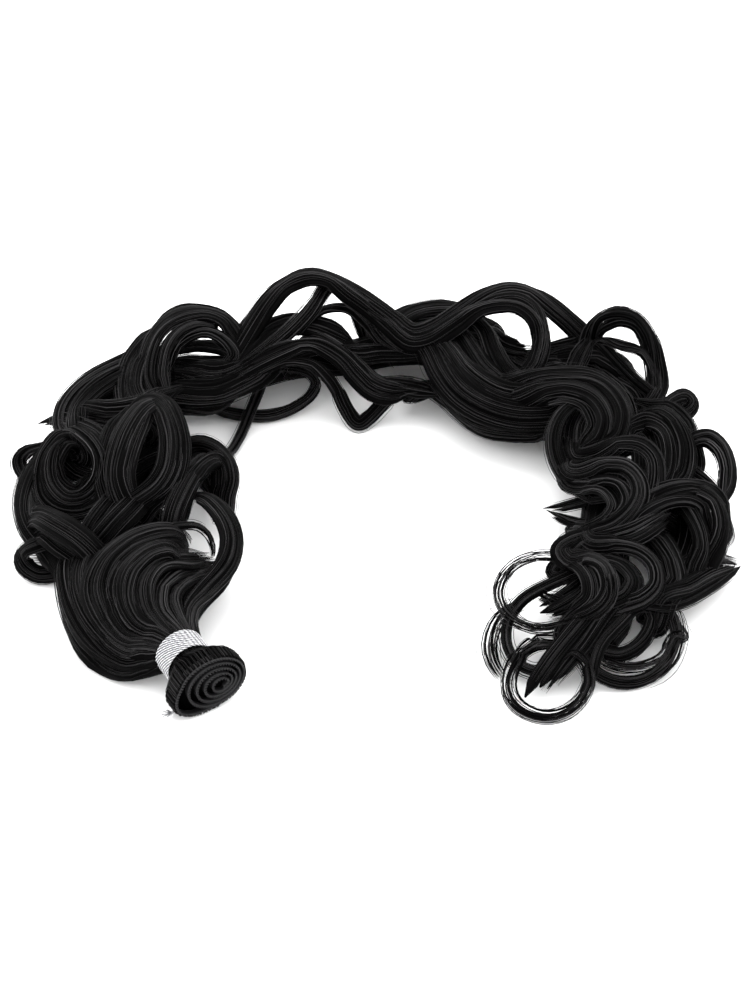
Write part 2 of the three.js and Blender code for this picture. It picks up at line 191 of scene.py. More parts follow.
# The stitching on the track's edge: two threads lie side by side along it, each thrown over the edge again and
# again, so the edge reads as two fine ropes of slanting stitches.
STITCH_PITCH = 1.1 * MM
STITCH_HALF = (0.18 * MM, 0.4 * MM, 0.26 * MM)  # across, along the thread, height
STITCH_SLANT = math.radians(40)
ROPE_OFFSET = 0.21 * MM
ROPE_SINK = 0.1 * MM  # how far the ropes lie back from the edge
ROPE_ROOM = 2.0 * MM  # turns that lie closer than this press the ropes narrower
ROPE_PRESS = (0.65, 1.1)  # the narrowest and the widest of a rope, as shares of its size


def node_tree(name, **inputs):
    """A Geometry Nodes tree with a Geometry input and these named inputs, and the sockets that give them."""
    tree = bpy.data.node_groups.new(name, "GeometryNodeTree")
    tree.interface.new_socket("Geometry", in_out="INPUT", socket_type="NodeSocketGeometry")
    tree.interface.new_socket("Geometry", in_out="OUTPUT", socket_type="NodeSocketGeometry")
    for key, kind in inputs.items():
        tree.interface.new_socket(key, in_out="INPUT", socket_type="NodeSocket" + kind)
    start = add_node(tree, "NodeGroupInput")
    return tree, start.outputs


def ended(tree, shape, finish):
    """Ends a tree: what it made is made real, shaded smooth and given its material."""
    shape = add_node(tree, "GeometryNodeRealizeInstances", {"Geometry": shape})
    shape = add_node(tree, "GeometryNodeSetShadeSmooth", {"Geometry": shape})
    shape = add_node(tree, "GeometryNodeSetMaterial", {"Geometry": shape, "Material": finish})
    add_node(tree, "NodeGroupOutput", {"Geometry": shape})


GUIDE_ONLY = (  # values that a tree reads, and that no finished piece keeps
    "snug", "out", "across", "proud", "half_width", "half_thick", "swell", "stray", "girth", "middle", "across_share",
    "proud_share", "custom_normal",
)


def baked(name, source, tree, **values):
    """The plain mesh that the tree makes of the source object with these input values."""
    modifier = source.modifiers.new(tree.name, "NODES")
    modifier.node_group = tree
    for item in tree.interface.items_tree:
        if item.in_out == "INPUT" and item.name in values:
            modifier[item.identifier] = values[item.name]
    seen = source.evaluated_get(bpy.context.evaluated_depsgraph_get())
    mesh = bpy.data.meshes.new_from_object(seen)
    source.modifiers.remove(modifier)
    mesh.name = name
    for worn in [a.name for a in mesh.attributes if a.name in GUIDE_ONLY]:
        mesh.attributes.remove(mesh.attributes[worn])
    made = bpy.data.objects.new(name, mesh)
    bpy.context.scene.collection.objects.link(made)
    return made


def guide(name, lines):
    """A mesh of open paths. Each line is a dict of arrays: points, and the values its points carry."""
    sizes = [len(line["points"]) for line in lines]
    starts = np.cumsum([0] + sizes)
    edges = np.concatenate([np.stack([np.arange(n - 1), np.arange(1, n)], 1) + s for n, s in zip(sizes, starts)])
    mesh = bpy.data.meshes.new(name)
    mesh.from_pydata(np.concatenate([line["points"] for line in lines]).tolist(), edges.tolist(), [])
    for key in lines[0]:
        if key == "points":
            continue
        column = np.concatenate([line[key] for line in lines]).astype(np.float32)
        kind = "FLOAT_VECTOR" if column.ndim == 2 else "FLOAT"
        carried = mesh.attributes.new(key, kind, "POINT")
        carried.data.foreach_set("vector" if column.ndim == 2 else "value", column.ravel())
    made = bpy.data.objects.new(name, mesh)
    bpy.context.scene.collection.objects.link(made)
    return made


stitch_tree, put = node_tree(
    "track_stitching", Pitch="Float", Half="Vector", Slant="Float", Facing="Vector", Thread="Material"
)
rope = add_node(stitch_tree, "GeometryNodeMeshToCurve", {"Mesh": put["Geometry"]})
rope = add_node(
    stitch_tree, "GeometryNodeResampleCurve", {"Curve": rope.outputs[0], "Length": put["Pitch"]}, mode="LENGTH"
)
rope_run = add_node(stitch_tree, "GeometryNodeInputTangent")
lean = add_node(
    stitch_tree, "ShaderNodeVectorRotate",
    {"Vector": rope_run.outputs[0], "Axis": put["Facing"], "Angle": put["Slant"]},
)
turned = add_node(
    stitch_tree, "FunctionNodeAxesToRotation",
    {"Primary Axis": lean.outputs[0], "Secondary Axis": put["Facing"]}, primary_axis="Y", secondary_axis="Z",
)
bead = add_node(stitch_tree, "GeometryNodeMeshUVSphere", {"Segments": 8, "Rings": 5, "Radius": 1.0})
snug = add_node(stitch_tree, "GeometryNodeInputNamedAttribute", {"Name": "snug"}, data_type="FLOAT")
bead_size = add_node(
    stitch_tree, "ShaderNodeVectorMath", {0: put["Half"], "Scale": snug.outputs[0]}, operation="SCALE")
beads = add_node(
    stitch_tree, "GeometryNodeInstanceOnPoints",
    {"Points": rope, "Instance": bead, "Rotation": turned, "Scale": bead_size},
)
ended(stitch_tree, beads, put["Thread"])

next_turn = np.linalg.norm(np.stack(roll_line(np.minimum(band_turn + 1, ROLL_TURNS))) - band_line, axis=0)
snug = np.clip(np.where(band_turn < ROLL_TURNS - 1, next_turn, ROPE_ROOM) / ROPE_ROOM, *ROPE_PRESS)
for rope_name, side_of in (("outer_stitching", 1), ("inner_stitching", -1)):
    rope_line = place(*(band_line + side_of * ROPE_OFFSET * snug * band_out), ROLL_BACK - BAND_WIDTH + ROPE_SINK)
    rope_guide = guide("rope_path", [{"points": rope_line, "snug": snug}])
    stitching = baked(
        rope_name, rope_guide, stitch_tree, Pitch=STITCH_PITCH, Half=STITCH_HALF, Slant=side_of * STITCH_SLANT,
        Facing=tuple(-HAIRWARD), Thread=sewing_thread,
    )
    bpy.data.objects.remove(rope_guide)
    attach(stitching, "root")
    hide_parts("weft_track")

# The tie: a thin metallised cord of two twisted plies, wound round the hair behind the roll, with its frayed end
# tucked out under the roll on the table.
COIL_TURNS, COIL_PITCH, COIL_RADIUS = 9, 1.04 * MM, 8.4 * MM  # the radius is to the cord's middle
COIL_STEPS = 150
PLIES, PLY_RADIUS, PLY_OFFSET, PLY_LAY = 2, 0.24 * MM, 0.21 * MM, 3.2 * MM  # the lay is the length of one twist
TAIL = np.array([(2.6, -9.4, -5.2), (6.6, -12.2, -6.2), (8.6, -13.2, -7.2), (9.6, -13.3, -8.6)]) * MM
TAIL_STEPS = 30

# Silver-white lurex cord: pale fibre with a metal film. Its colour is painted grey between the plies, a painted shade
# in the grooves, so each ply's crown reads bright. The film glints in flecks about 0.7 mm apart.
silver_cord, cord_tree, cord_shader = new_material("silver_twisted_cord")
cord_place = add_node(cord_tree, "ShaderNodeTexCoord")
cord_fleck = add_node(
    cord_tree, "ShaderNodeTexNoise", {"Vector": cord_place.outputs["Object"], "Scale": 1400.0, "Detail": 2.0}
)
cord_colour = add_node(cord_tree, "ShaderNodeValToRGB", {"Fac": cord_fleck.outputs["Fac"]})
cord_colour.color_ramp.elements[0].position, cord_colour.color_ramp.elements[1].position = 0.3, 0.62
cord_colour.color_ramp.elements[0].color = hex_linear("#a0a0a5")
cord_colour.color_ramp.elements[1].color = hex_linear("#dededf")
# Painted shade: the colour is multiplied down to grey where a point lies low, near the cord's middle between the plies.
cord_height = add_node(cord_tree, "ShaderNodeAttribute", attribute_name="height")
cord_groove_painted_shade = add_node(cord_tree, "ShaderNodeValToRGB", {"Fac": cord_height.outputs["Fac"]})
cord_groove_painted_shade.color_ramp.elements[0].position, cord_groove_painted_shade.color_ramp.elements[1].position = 0.5, 0.92
cord_groove_painted_shade.color_ramp.elements[0].color = hex_linear("#4c4c50")
cord_groove_painted_shade.color_ramp.elements[1].color = (1, 1, 1, 1)
cord_colour = add_node(
    cord_tree, "ShaderNodeVectorMath", {0: cord_colour.outputs["Color"], 1: cord_groove_painted_shade.outputs["Color"]},
    operation="MULTIPLY")
cord_tree.links.new(cord_colour.outputs[0], cord_shader.inputs["Base Color"])
cord_shader.inputs["Roughness"].default_value = 0.32
cord_shader.inputs["Metallic"].default_value = 0.6

ply_tree, put = node_tree(
    "twisted_plies", Plies="Int", Offset="Float", Radius="Float", Lay="Float", Finish="Material"
)
ply = add_node(ply_tree, "GeometryNodeMeshToCurve", {"Mesh": put["Geometry"]})
ply = add_node(
    ply_tree, "GeometryNodeStoreNamedAttribute",
    {"Geometry": ply, "Name": "middle", "Value": add_node(ply_tree, "GeometryNodeInputPosition")},
    data_type="FLOAT_VECTOR", domain="POINT",
)
ply = add_node(
    ply_tree, "GeometryNodeDuplicateElements", {"Geometry": ply.outputs[0], "Amount": put["Plies"]}, domain="SPLINE"
)
ply_share = add_node(ply_tree, "ShaderNodeMath", {0: ply.outputs[1], 1: put["Plies"]}, operation="DIVIDE")
ply_reach = add_node(ply_tree, "GeometryNodeSplineParameter")
ply_twist = add_node(ply_tree, "ShaderNodeMath", {0: ply_reach.outputs["Length"], 1: put["Lay"]}, operation="DIVIDE")
ply_turn = add_node(ply_tree, "ShaderNodeMath", {0: ply_share.outputs[0], 1: ply_twist.outputs[0]}, operation="ADD")
ply_angle = add_node(ply_tree, "ShaderNodeMath", {0: ply_turn.outputs[0], 1: 2 * math.pi}, operation="MULTIPLY")
ply_run = add_node(ply_tree, "GeometryNodeInputTangent")
ply_out = add_node(ply_tree, "GeometryNodeInputNamedAttribute", {"Name": "out"}, data_type="FLOAT_VECTOR")
ply_aim = add_node(
    ply_tree, "ShaderNodeVectorRotate",
    {"Vector": ply_out.outputs[0], "Axis": ply_run.outputs[0], "Angle": ply_angle.outputs[0]},
)
ply_step = add_node(
    ply_tree, "ShaderNodeVectorMath", {0: ply_aim.outputs[0], "Scale": put["Offset"]}, operation="SCALE"
)
ply = add_node(ply_tree, "GeometryNodeSetPosition", {"Geometry": ply.outputs[0], "Offset": ply_step.outputs[0]})
ply_ring = add_node(ply_tree, "GeometryNodeCurvePrimitiveCircle", {"Resolution": 6, "Radius": put["Radius"]})
ply = add_node(
    ply_tree, "GeometryNodeCurveToMesh",
    {"Curve": ply.outputs[0], "Profile Curve": ply_ring.outputs[0], "Fill Caps": True},
)
# How far each point lies from the cord's middle, as a share of the crown: the cord's material paints shade with it into
# the grooves between the plies.
ply_middle = add_node(ply_tree, "GeometryNodeInputNamedAttribute", {"Name": "middle"}, data_type="FLOAT_VECTOR")
ply_height = add_node(
    ply_tree, "ShaderNodeVectorMath", {0: add_node(ply_tree, "GeometryNodeInputPosition"), 1: ply_middle},
    operation="DISTANCE")
ply_crown = add_node(ply_tree, "ShaderNodeMath", {0: put["Offset"], 1: put["Radius"]}, operation="ADD")
ply_height = add_node(
    ply_tree, "ShaderNodeMath", {0: ply_height.outputs["Value"], 1: ply_crown}, operation="DIVIDE")
ply = add_node(
    ply_tree, "GeometryNodeStoreNamedAttribute", {"Geometry": ply, "Name": "height", "Value": ply_height},
    data_type="FLOAT", domain="POINT",
)
ended(ply_tree, ply, put["Finish"])


def rounded(points, steps):
    """A smooth path through a few points (Catmull-Rom), with steps to each stretch."""
    held = np.vstack([2 * points[0] - points[1], points, 2 * points[-1] - points[-2]])
    t = np.linspace(0, 1, steps, endpoint=False)[:, None]
    runs = []
    for p0, p1, p2, p3 in zip(held, held[1:], held[2:], held[3:]):
        runs.append(0.5 * (2 * p1 + (p2 - p0) * t + (2 * p0 - 5 * p1 + 4 * p2 - p3) * t ** 2
                           + (3 * p1 - 3 * p2 + p3 - p0) * t ** 3))
    return np.vstack(runs + [points[-1:]])


coil_turn = np.linspace(0, COIL_TURNS, COIL_TURNS * COIL_STEPS + 1)
coil_angle = 2 * np.pi * (coil_turn - COIL_TURNS) - np.pi / 2
coil_line = np.stack([
    COIL_RADIUS * np.cos(coil_angle), COIL_RADIUS * np.sin(coil_angle), COIL_PITCH * (COIL_TURNS / 2 - coil_turn)
], 1)
tail_line = rounded(np.vstack([coil_line[-1:], TAIL]), TAIL_STEPS)[1:]
cord_line = np.vstack([coil_line, tail_line])
cord_points = place(*cord_line.T)
cord_run = np.gradient(cord_points, axis=0)
cord_run /= np.linalg.norm(cord_run, axis=1, keepdims=True)
cord_out = place(cord_line[:, 0], cord_line[:, 1], 0 * cord_line[:, 2]) - NECK_PLACE
cord_out -= cord_run * (cord_out * cord_run).sum(1, keepdims=True)
cord_out /= np.linalg.norm(cord_out, axis=1, keepdims=True)
cord_guide = guide("cord_path", [{"points": cord_points, "out": cord_out}])
wound_cord = baked(
    "wound_cord", cord_guide, ply_tree, Plies=PLIES, Offset=PLY_OFFSET, Radius=PLY_RADIUS, Lay=PLY_LAY,
    Finish=silver_cord,
)
bpy.data.objects.remove(cord_guide)

FIBRES, FIBRE_RADIUS, FIBRE_LENGTH = 17, 0.16 * MM, 3.9 * MM  # the cord's end, frayed out into single fibres
FIBRE_RUN = np.array((0.65, 0.15, -0.3))  # where they all lead: side, up and along the neck, as shares of the length
FRAY_TURN = 2.4  # each fibre springs off this much further round the cord, in radians
fray_share = np.linspace(0, 1, 6)[:, None]
fibre_lines = []
for turn in np.arange(FIBRES) * FRAY_TURN:
    spring = np.array((0.55 * math.cos(turn), 0.4 + 0.35 * math.sin(2 * turn), 0.55 * math.sin(turn)))
    reach = FIBRE_LENGTH * (0.7 + 0.3 * math.cos(3 * turn))
    fibre = TAIL[-1] + reach * (fray_share * FIBRE_RUN + fray_share ** 1.6 * spring)
    fibre[:, 1] = np.maximum(fibre[:, 1], 0.3 * MM - NECK_PLACE[2])  # none goes into the table
    fibre_lines.append({"points": place(*fibre.T), "out": np.repeat(UP[None], len(fibre), 0)})
fibre_guide = guide("fibre_paths", fibre_lines)
# Each fibre is two fine plies, so the cord's painted groove shade marks it with dark strokes.
frayed_end = baked(
    "frayed_cord_end", fibre_guide, ply_tree, Plies=2, Offset=FIBRE_RADIUS / 2, Radius=FIBRE_RADIUS,
    Lay=PLY_LAY, Finish=silver_cord,
)
bpy.data.objects.remove(fibre_guide)
for piece in (wound_cord, frayed_end):
    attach(piece, "root")
    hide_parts("tie_cord")

# The hair: real hair, dyed jet black and steam curled. Combed straight out of the binding it fans out, and then
# falls into flat locks that wave, curl over and stand in open loops. A lock is a ribbon of combed hair with single
# strands lying on it, and each lock grows out of the tress that lies underneath.
PICTURE = (750, 1000)  # the picture's width and height, in which the locks are drawn
PICTURE_LENS = PICTURE[1] * CAMERA_LENS / optics.sensor_width  # the lens in the picture's units


def seen_at(points):
    """Points given as the camera sees them: across and down the picture, and height over the table in mm."""
    across, down, height = np.array(points, float).T
    aside, drop = (across - PICTURE[0] / 2) / PICTURE_LENS, (down - PICTURE[1] / 2) / PICTURE_LENS
    ray = np.outer(aside, (1, 0, 0)) - np.outer(drop, CAMERA_UP) - CAMERA_BACK
    return CAMERA_EYE + ray * ((height * MM - CAMERA_EYE[2]) / ray[:, 2])[:, None]


LOCK_STEP = 5.4 * MM  # between the points of a straight lock
CURL_STEP = 0.37  # turn between the points of a curl, in radians
LOCK_END = 14 * MM  # a lock narrows over this length at its ends
LOCK_FACE = np.array((0, -0.5, 0.87))  # a straight lock lies with its flat side this way
CURL_FACE, CURL_SHARE = 26 * MM, 0.55  # a lock curled this tightly turns its flat side outwards by this share
LOOSE, LOOSE_RING = 0.6, 1.9  # how far the strands of a lock and of a tip ring stray
FAN_GRIP = (10 * MM, 40 * MM)  # a fan lock is held together over the first length and spreads over the second


def evenly(path, step):
    """A smooth path through a few points, as points a step apart or closer in a curl, and the length to each."""
    fine = rounded(path, 24)
    reach = np.concatenate([[0], np.cumsum(np.linalg.norm(np.diff(fine, axis=0), axis=1))])
    run = np.diff(fine, axis=0) / np.diff(reach)[:, None]
    turned = np.concatenate([[0], np.arccos(np.clip((run[1:] * run[:-1]).sum(1), -1, 1)), [0]])
    spent = reach / step + np.cumsum(turned) / CURL_STEP
    s = np.interp(np.linspace(0, spent[-1], max(8, int(spent[-1]))), spent, reach)
    return np.stack([np.interp(s, reach, fine[:, k]) for k in range(3)], 1), s


def lock_guide_line(path, width, thick, root=0.0, loose=LOOSE, ends=(0.5, 0.5)):
    """One lock as a guide: its middle line, its own directions, and how wide, deep and loose it is."""
    points, s = evenly(path, LOCK_STEP)
    along = np.gradient(points, s, axis=0)
    along /= np.linalg.norm(along, axis=1, keepdims=True)
    bend = -np.gradient(along, s, axis=0)
    evened = np.ones(5) / 5
    bend = np.stack([np.convolve(np.pad(bend[:, k], 2, mode="edge"), evened, "valid") for k in range(3)], 1)
    tight = np.linalg.norm(bend, axis=1, keepdims=True)
    outside = np.clip(0.5 + (bend @ LOCK_FACE)[:, None] / np.maximum(tight, 1e-6), 0, 1)
    weight = np.clip(tight * CURL_FACE, 0, 1) * CURL_SHARE * outside
    proud = LOCK_FACE * (1 - weight) + bend / np.maximum(tight, 1e-6) * weight
    proud -= along * (proud * along).sum(1, keepdims=True)
    proud /= np.linalg.norm(proud, axis=1, keepdims=True)
    swell = ends[1] + (1 - ends[1]) * smooth((s[-1] - s) / LOCK_END)
    if root:
        held = smooth((s - FAN_GRIP[0]) / FAN_GRIP[1])
        half_width = root * (1 - held) + width / 2 * held
        half_thick = root * (1 - held) + thick / 2 * held
        stray = held * loose
    else:
        swell = swell * (ends[0] + (1 - ends[0]) * smooth(s / LOCK_END))
        half_width, half_thick, stray = (np.full(len(s), v) for v in (width / 2, thick / 2, loose))
    return {
        "points": points, "across": np.cross(proud, along), "proud": proud, "half_width": half_width * swell,
        "half_thick": half_thick * swell, "swell": swell, "stray": stray, "along": s,
    }


# Jet black dyed hair: a smooth scaly surface. Each strand on a lock is painted lighter, a painted satin sheen, while
# the combed hair between the strands is painted near black, a painted shade; both are the same hair. A lock shows fine
# lines
# along it: they are drawn about half a millimetre apart, several times as coarse as single hairs, so that they show,
# and the light ones on the strands are painted sheen.
HAIR_FINISHES = {  # darkest and lightest colour, roughness of the dark and the light lines, specular level
    "jet_black_hair_painted_shade": ("#010101", "#050405", 0.55, 0.36, 0.02),
    "jet_black_strands_painted_sheen": ("#010101", "#4a494a", 0.45, 0.26, 0.06),
}
HAIR_GRAIN = (2200.0, 11.0, 60.0)  # lines a metre across a lock, their changes a metre along it, and from lock to lock
hair_finish = {}
for finish, (darkest, lightest, dull, glossy, specular) in HAIR_FINISHES.items():
    hair_finish[finish], hair_tree, hair_shader = new_material(finish)
    hair_spread = add_node(hair_tree, "ShaderNodeAttribute", attribute_name="spread")
    hair_along = add_node(hair_tree, "ShaderNodeAttribute", attribute_name="along")
    hair_shade = add_node(hair_tree, "ShaderNodeAttribute", attribute_name="shade")
    hair_spot = add_node(hair_tree, "ShaderNodeCombineXYZ", {
        "X": hair_spread.outputs["Fac"], "Y": hair_along.outputs["Fac"], "Z": hair_shade.outputs["Fac"]})
    hair_stretch = add_node(
        hair_tree, "ShaderNodeVectorMath", {0: hair_spot, 1: HAIR_GRAIN}, operation="MULTIPLY")
    hair_lines = add_node(
        hair_tree, "ShaderNodeTexNoise", {"Vector": hair_stretch, "Scale": 1.0, "Detail": 4.0, "Roughness": 0.65})
    hair_colour = add_node(hair_tree, "ShaderNodeValToRGB", {"Fac": hair_lines.outputs["Fac"]})
    hair_colour.color_ramp.elements[0].position, hair_colour.color_ramp.elements[1].position = 0.45, 0.7
    hair_colour.color_ramp.elements[0].color = hex_linear(darkest)
    hair_colour.color_ramp.elements[1].color = hex_linear(lightest)
    hair_gloss = add_node(hair_tree, "ShaderNodeMapRange", {
        "Value": hair_lines.outputs["Fac"], "From Min": 0.38, "From Max": 0.62, "To Min": dull, "To Max": glossy})
    hair_bump = add_node(
        hair_tree, "ShaderNodeBump", {"Height": hair_lines.outputs["Fac"], "Strength": 1.0, "Distance": 0.0007})
    hair_tree.links.new(hair_colour.outputs["Color"], hair_shader.inputs["Base Color"])
    hair_tree.links.new(hair_gloss.outputs["Result"], hair_shader.inputs["Roughness"])
    hair_tree.links.new(hair_bump.outputs["Normal"], hair_shader.inputs["Normal"])
    hair_shader.inputs["Specular IOR Level"].default_value = specular
# The hair painted in shade, for ribbons, core, tufts and wisps, and the strands painted with sheen.
hair_painted_shade, strands_painted_sheen = hair_finish.values()


def laid(tree, spot, floor):
    """A place in a tree, lifted to the floor where it would go into the table."""
    spot = add_node(tree, "ShaderNodeSeparateXYZ", {0: spot})
    height = add_node(tree, "ShaderNodeMath", {0: spot.outputs[2], 1: floor}, operation="MAXIMUM")
    return add_node(tree, "ShaderNodeCombineXYZ", {"X": spot.outputs[0], "Y": spot.outputs[1], "Z": height})


# A lock's own ribbon: a lens-shaped section carried along the lock, with combed ridges running along it.
ribbon_tree, put = node_tree(
    "lock_ribbons", Sides="Int", Ridges="Float", Height="Float", Waves="Float", Floor="Float", Seed="Int",
    Finish="Material",
)
ribbon = add_node(ribbon_tree, "GeometryNodeMeshToCurve", {"Mesh": put["Geometry"]})
ribbon = add_node(
    ribbon_tree, "GeometryNodeStoreNamedAttribute",
    {"Geometry": ribbon, "Name": "middle", "Value": add_node(ribbon_tree, "GeometryNodeInputPosition")},
    data_type="FLOAT_VECTOR", domain="POINT",
)
ribbon_number = add_node(ribbon_tree, "GeometryNodeCurveOfPoint")
ribbon_luck = add_node(
    ribbon_tree, "FunctionNodeRandomValue", {"ID": ribbon_number.outputs["Curve Index"], "Seed": put["Seed"]})
ribbon = add_node(
    ribbon_tree, "GeometryNodeStoreNamedAttribute",
    {"Geometry": ribbon, "Name": "shade", "Value": ribbon_luck.outputs[1]}, data_type="FLOAT", domain="POINT",
)
section = add_node(ribbon_tree, "GeometryNodeCurvePrimitiveCircle", {"Resolution": put["Sides"], "Radius": 1.0})
section_spot = add_node(ribbon_tree, "ShaderNodeSeparateXYZ", {0: add_node(ribbon_tree, "GeometryNodeInputPosition")})
for section_value, axis in (("across_share", 0), ("proud_share", 1)):
    section = add_node(
        ribbon_tree, "GeometryNodeStoreNamedAttribute",
        {"Geometry": section, "Name": section_value, "Value": section_spot.outputs[axis]},
        data_type="FLOAT", domain="POINT",
    )
ribbon = add_node(
    ribbon_tree, "GeometryNodeCurveToMesh", {"Curve": ribbon, "Profile Curve": section, "Fill Caps": True})
carried = {
    name: add_node(ribbon_tree, "GeometryNodeInputNamedAttribute", {"Name": name}, data_type=kind)
    for kind, names in (
        ("FLOAT_VECTOR", ("middle", "across", "proud")),
        ("FLOAT", ("half_width", "half_thick", "along", "shade", "across_share", "proud_share")),
    ) for name in names
}
ribbon_spread = add_node(
    ribbon_tree, "ShaderNodeMath", {0: carried["across_share"], 1: carried["half_width"]}, operation="MULTIPLY")
ribbon = add_node(
    ribbon_tree, "GeometryNodeStoreNamedAttribute",
    {"Geometry": ribbon, "Name": "spread", "Value": ribbon_spread}, data_type="FLOAT", domain="POINT",
)
ridge_at = add_node(ribbon_tree, "ShaderNodeCombineXYZ", {
    "X": add_node(ribbon_tree, "ShaderNodeMath", {0: ribbon_spread, 1: put["Ridges"]}, operation="MULTIPLY"),
    "Y": add_node(ribbon_tree, "ShaderNodeMath", {0: carried["along"], 1: put["Waves"]}, operation="MULTIPLY"),
    "Z": add_node(ribbon_tree, "ShaderNodeMath", {0: carried["shade"], 1: 40.0}, operation="MULTIPLY"),
})
ridge = add_node(ribbon_tree, "ShaderNodeTexNoise", {"Vector": ridge_at, "Scale": 1.0, "Detail": 1.0})
ridge = add_node(
    ribbon_tree, "ShaderNodeMath", {0: ridge.outputs["Fac"], 1: 2.0, 2: -1.0}, operation="MULTIPLY_ADD")
ridge = add_node(
    ribbon_tree, "ShaderNodeMath", {0: ridge, 1: put["Height"], 2: carried["half_thick"]}, operation="MULTIPLY_ADD")
ribbon_deep = add_node(ribbon_tree, "ShaderNodeMath", {0: ridge, 1: carried["proud_share"]}, operation="MULTIPLY")
ribbon_place = add_node(
    ribbon_tree, "ShaderNodeVectorMath", {0: carried["across"], "Scale": ribbon_spread}, operation="SCALE")
ribbon_place = add_node(
    ribbon_tree, "ShaderNodeVectorMath", {0: ribbon_place, 1: carried["middle"]}, operation="ADD")
ribbon_rise = add_node(
    ribbon_tree, "ShaderNodeVectorMath", {0: carried["proud"], "Scale": ribbon_deep}, operation="SCALE")
ribbon_place = add_node(ribbon_tree, "ShaderNodeVectorMath", {0: ribbon_place, 1: ribbon_rise}, operation="ADD")
ribbon_place = laid(ribbon_tree, ribbon_place, put["Floor"])
ribbon = add_node(ribbon_tree, "GeometryNodeSetPosition", {"Geometry": ribbon, "Position": ribbon_place})
ended(ribbon_tree, ribbon, put["Finish"])

# Single strands and thin wisps: each follows its lock, at a place of its own across it and on its faces, and wavers.
strand_tree, put = node_tree(
    "strands_along_locks", Count="Int", Across="Float", Deep="Float", Inside="Float", Wander="Float", Waves="Float",
    Radius="Float", Flat="Float", Sides="Int", RootTrim="Float", TipTrim="Float", Floor="Float", Seed="Int",
    Finish="Material",
)
strand = add_node(strand_tree, "GeometryNodeMeshToCurve", {"Mesh": put["Geometry"]})
strand = add_node(
    strand_tree, "GeometryNodeDuplicateElements", {"Geometry": strand, "Amount": put["Count"]}, domain="SPLINE")
copy_number = strand.outputs[1]
strand_number = add_node(strand_tree, "GeometryNodeCurveOfPoint").outputs["Curve Index"]
luck = add_node(
    strand_tree, "FunctionNodeRandomValue",
    {0: (0, 0, 0), 1: (1, 1, 1), "ID": strand_number, "Seed": put["Seed"]}, data_type="FLOAT_VECTOR",
)
more_luck = add_node(
    strand_tree, "FunctionNodeRandomValue",
    {0: (0, 0, 0), 1: (1, 1, 1), "ID": strand_number,
     "Seed": add_node(strand_tree, "ShaderNodeMath", {0: put["Seed"], 1: 1.0}, operation="ADD")},
    data_type="FLOAT_VECTOR",
)
jitter, shade_lot, depth_lot = add_node(strand_tree, "ShaderNodeSeparateXYZ", {0: luck}).outputs
root_lot, tip_lot, size_lot = add_node(strand_tree, "ShaderNodeSeparateXYZ", {0: more_luck}).outputs
carried = {
    name: add_node(strand_tree, "GeometryNodeInputNamedAttribute", {"Name": name}, data_type=kind)
    for kind, names in (
        ("FLOAT_VECTOR", ("across", "proud")), ("FLOAT", ("half_width", "half_thick", "along", "stray", "swell")),
    ) for name in names
}
lot = add_node(strand_tree, "ShaderNodeMath", {0: copy_number, 1: jitter}, operation="ADD")
lot = add_node(strand_tree, "ShaderNodeMath", {0: lot, 1: put["Count"]}, operation="DIVIDE")
lot = add_node(strand_tree, "ShaderNodeMath", {0: lot, 1: 2.0, 2: -1.0}, operation="MULTIPLY_ADD")
waver_run = add_node(strand_tree, "ShaderNodeMath", {0: carried["along"], 1: put["Waves"]}, operation="MULTIPLY")
waver_at = add_node(strand_tree, "ShaderNodeVectorMath", {
    0: luck, 1: (50, 50, 50), 2: add_node(strand_tree, "ShaderNodeCombineXYZ", {"X": waver_run}),
}, operation="MULTIPLY_ADD")
waver = add_node(strand_tree, "ShaderNodeTexNoise", {"Vector": waver_at, "Scale": 1.0, "Detail": 1.0})
waver = add_node(
    strand_tree, "ShaderNodeVectorMath", {0: waver.outputs["Color"], 1: (2, 2, 2), 2: (-1, -1, -1)},
    operation="MULTIPLY_ADD",
)
waver = add_node(strand_tree, "ShaderNodeVectorMath", {
    0: waver,
    "Scale": add_node(strand_tree, "ShaderNodeMath", {0: put["Wander"], 1: carried["stray"]}, operation="MULTIPLY"),
}, operation="SCALE")
sway_across, sway_deep, _ = add_node(strand_tree, "ShaderNodeSeparateXYZ", {0: waver}).outputs
aside = add_node(strand_tree, "ShaderNodeMath", {0: lot, 1: put["Across"]}, operation="MULTIPLY")
aside = add_node(
    strand_tree, "ShaderNodeMath", {0: aside, 1: carried["half_width"], 2: sway_across}, operation="MULTIPLY_ADD")
# A strand lies on the lock's face, twice as often on the upper one as on the lower.
bow = add_node(strand_tree, "ShaderNodeMath", {0: lot, 1: lot}, operation="MULTIPLY")
bow = add_node(strand_tree, "ShaderNodeMath", {0: 1.0, 1: bow}, operation="SUBTRACT", use_clamp=True)
bow = add_node(strand_tree, "ShaderNodeMath", {0: bow, 1: 0.5}, operation="POWER")
depth = add_node(strand_tree, "ShaderNodeMath", {0: depth_lot, 1: 1.5, 2: -0.5}, operation="MULTIPLY_ADD")
depth_side = add_node(strand_tree, "ShaderNodeMath", {0: depth}, operation="SIGN")
depth = add_node(strand_tree, "ShaderNodeMath", {0: depth}, operation="ABSOLUTE")
depth = add_node(strand_tree, "ShaderNodeMath", {0: depth, 1: put["Inside"]}, operation="POWER")
depth = add_node(strand_tree, "ShaderNodeMath", {0: depth, 1: depth_side}, operation="MULTIPLY")
depth = add_node(strand_tree, "ShaderNodeMath", {0: depth, 1: bow}, operation="MULTIPLY")
depth = add_node(strand_tree, "ShaderNodeMath", {0: depth, 1: put["Deep"]}, operation="MULTIPLY")
lift = add_node(
    strand_tree, "ShaderNodeMath", {0: depth_side, 1: put["Radius"], 2: sway_deep}, operation="MULTIPLY_ADD")
depth = add_node(
    strand_tree, "ShaderNodeMath", {0: depth, 1: carried["half_thick"], 2: lift}, operation="MULTIPLY_ADD")
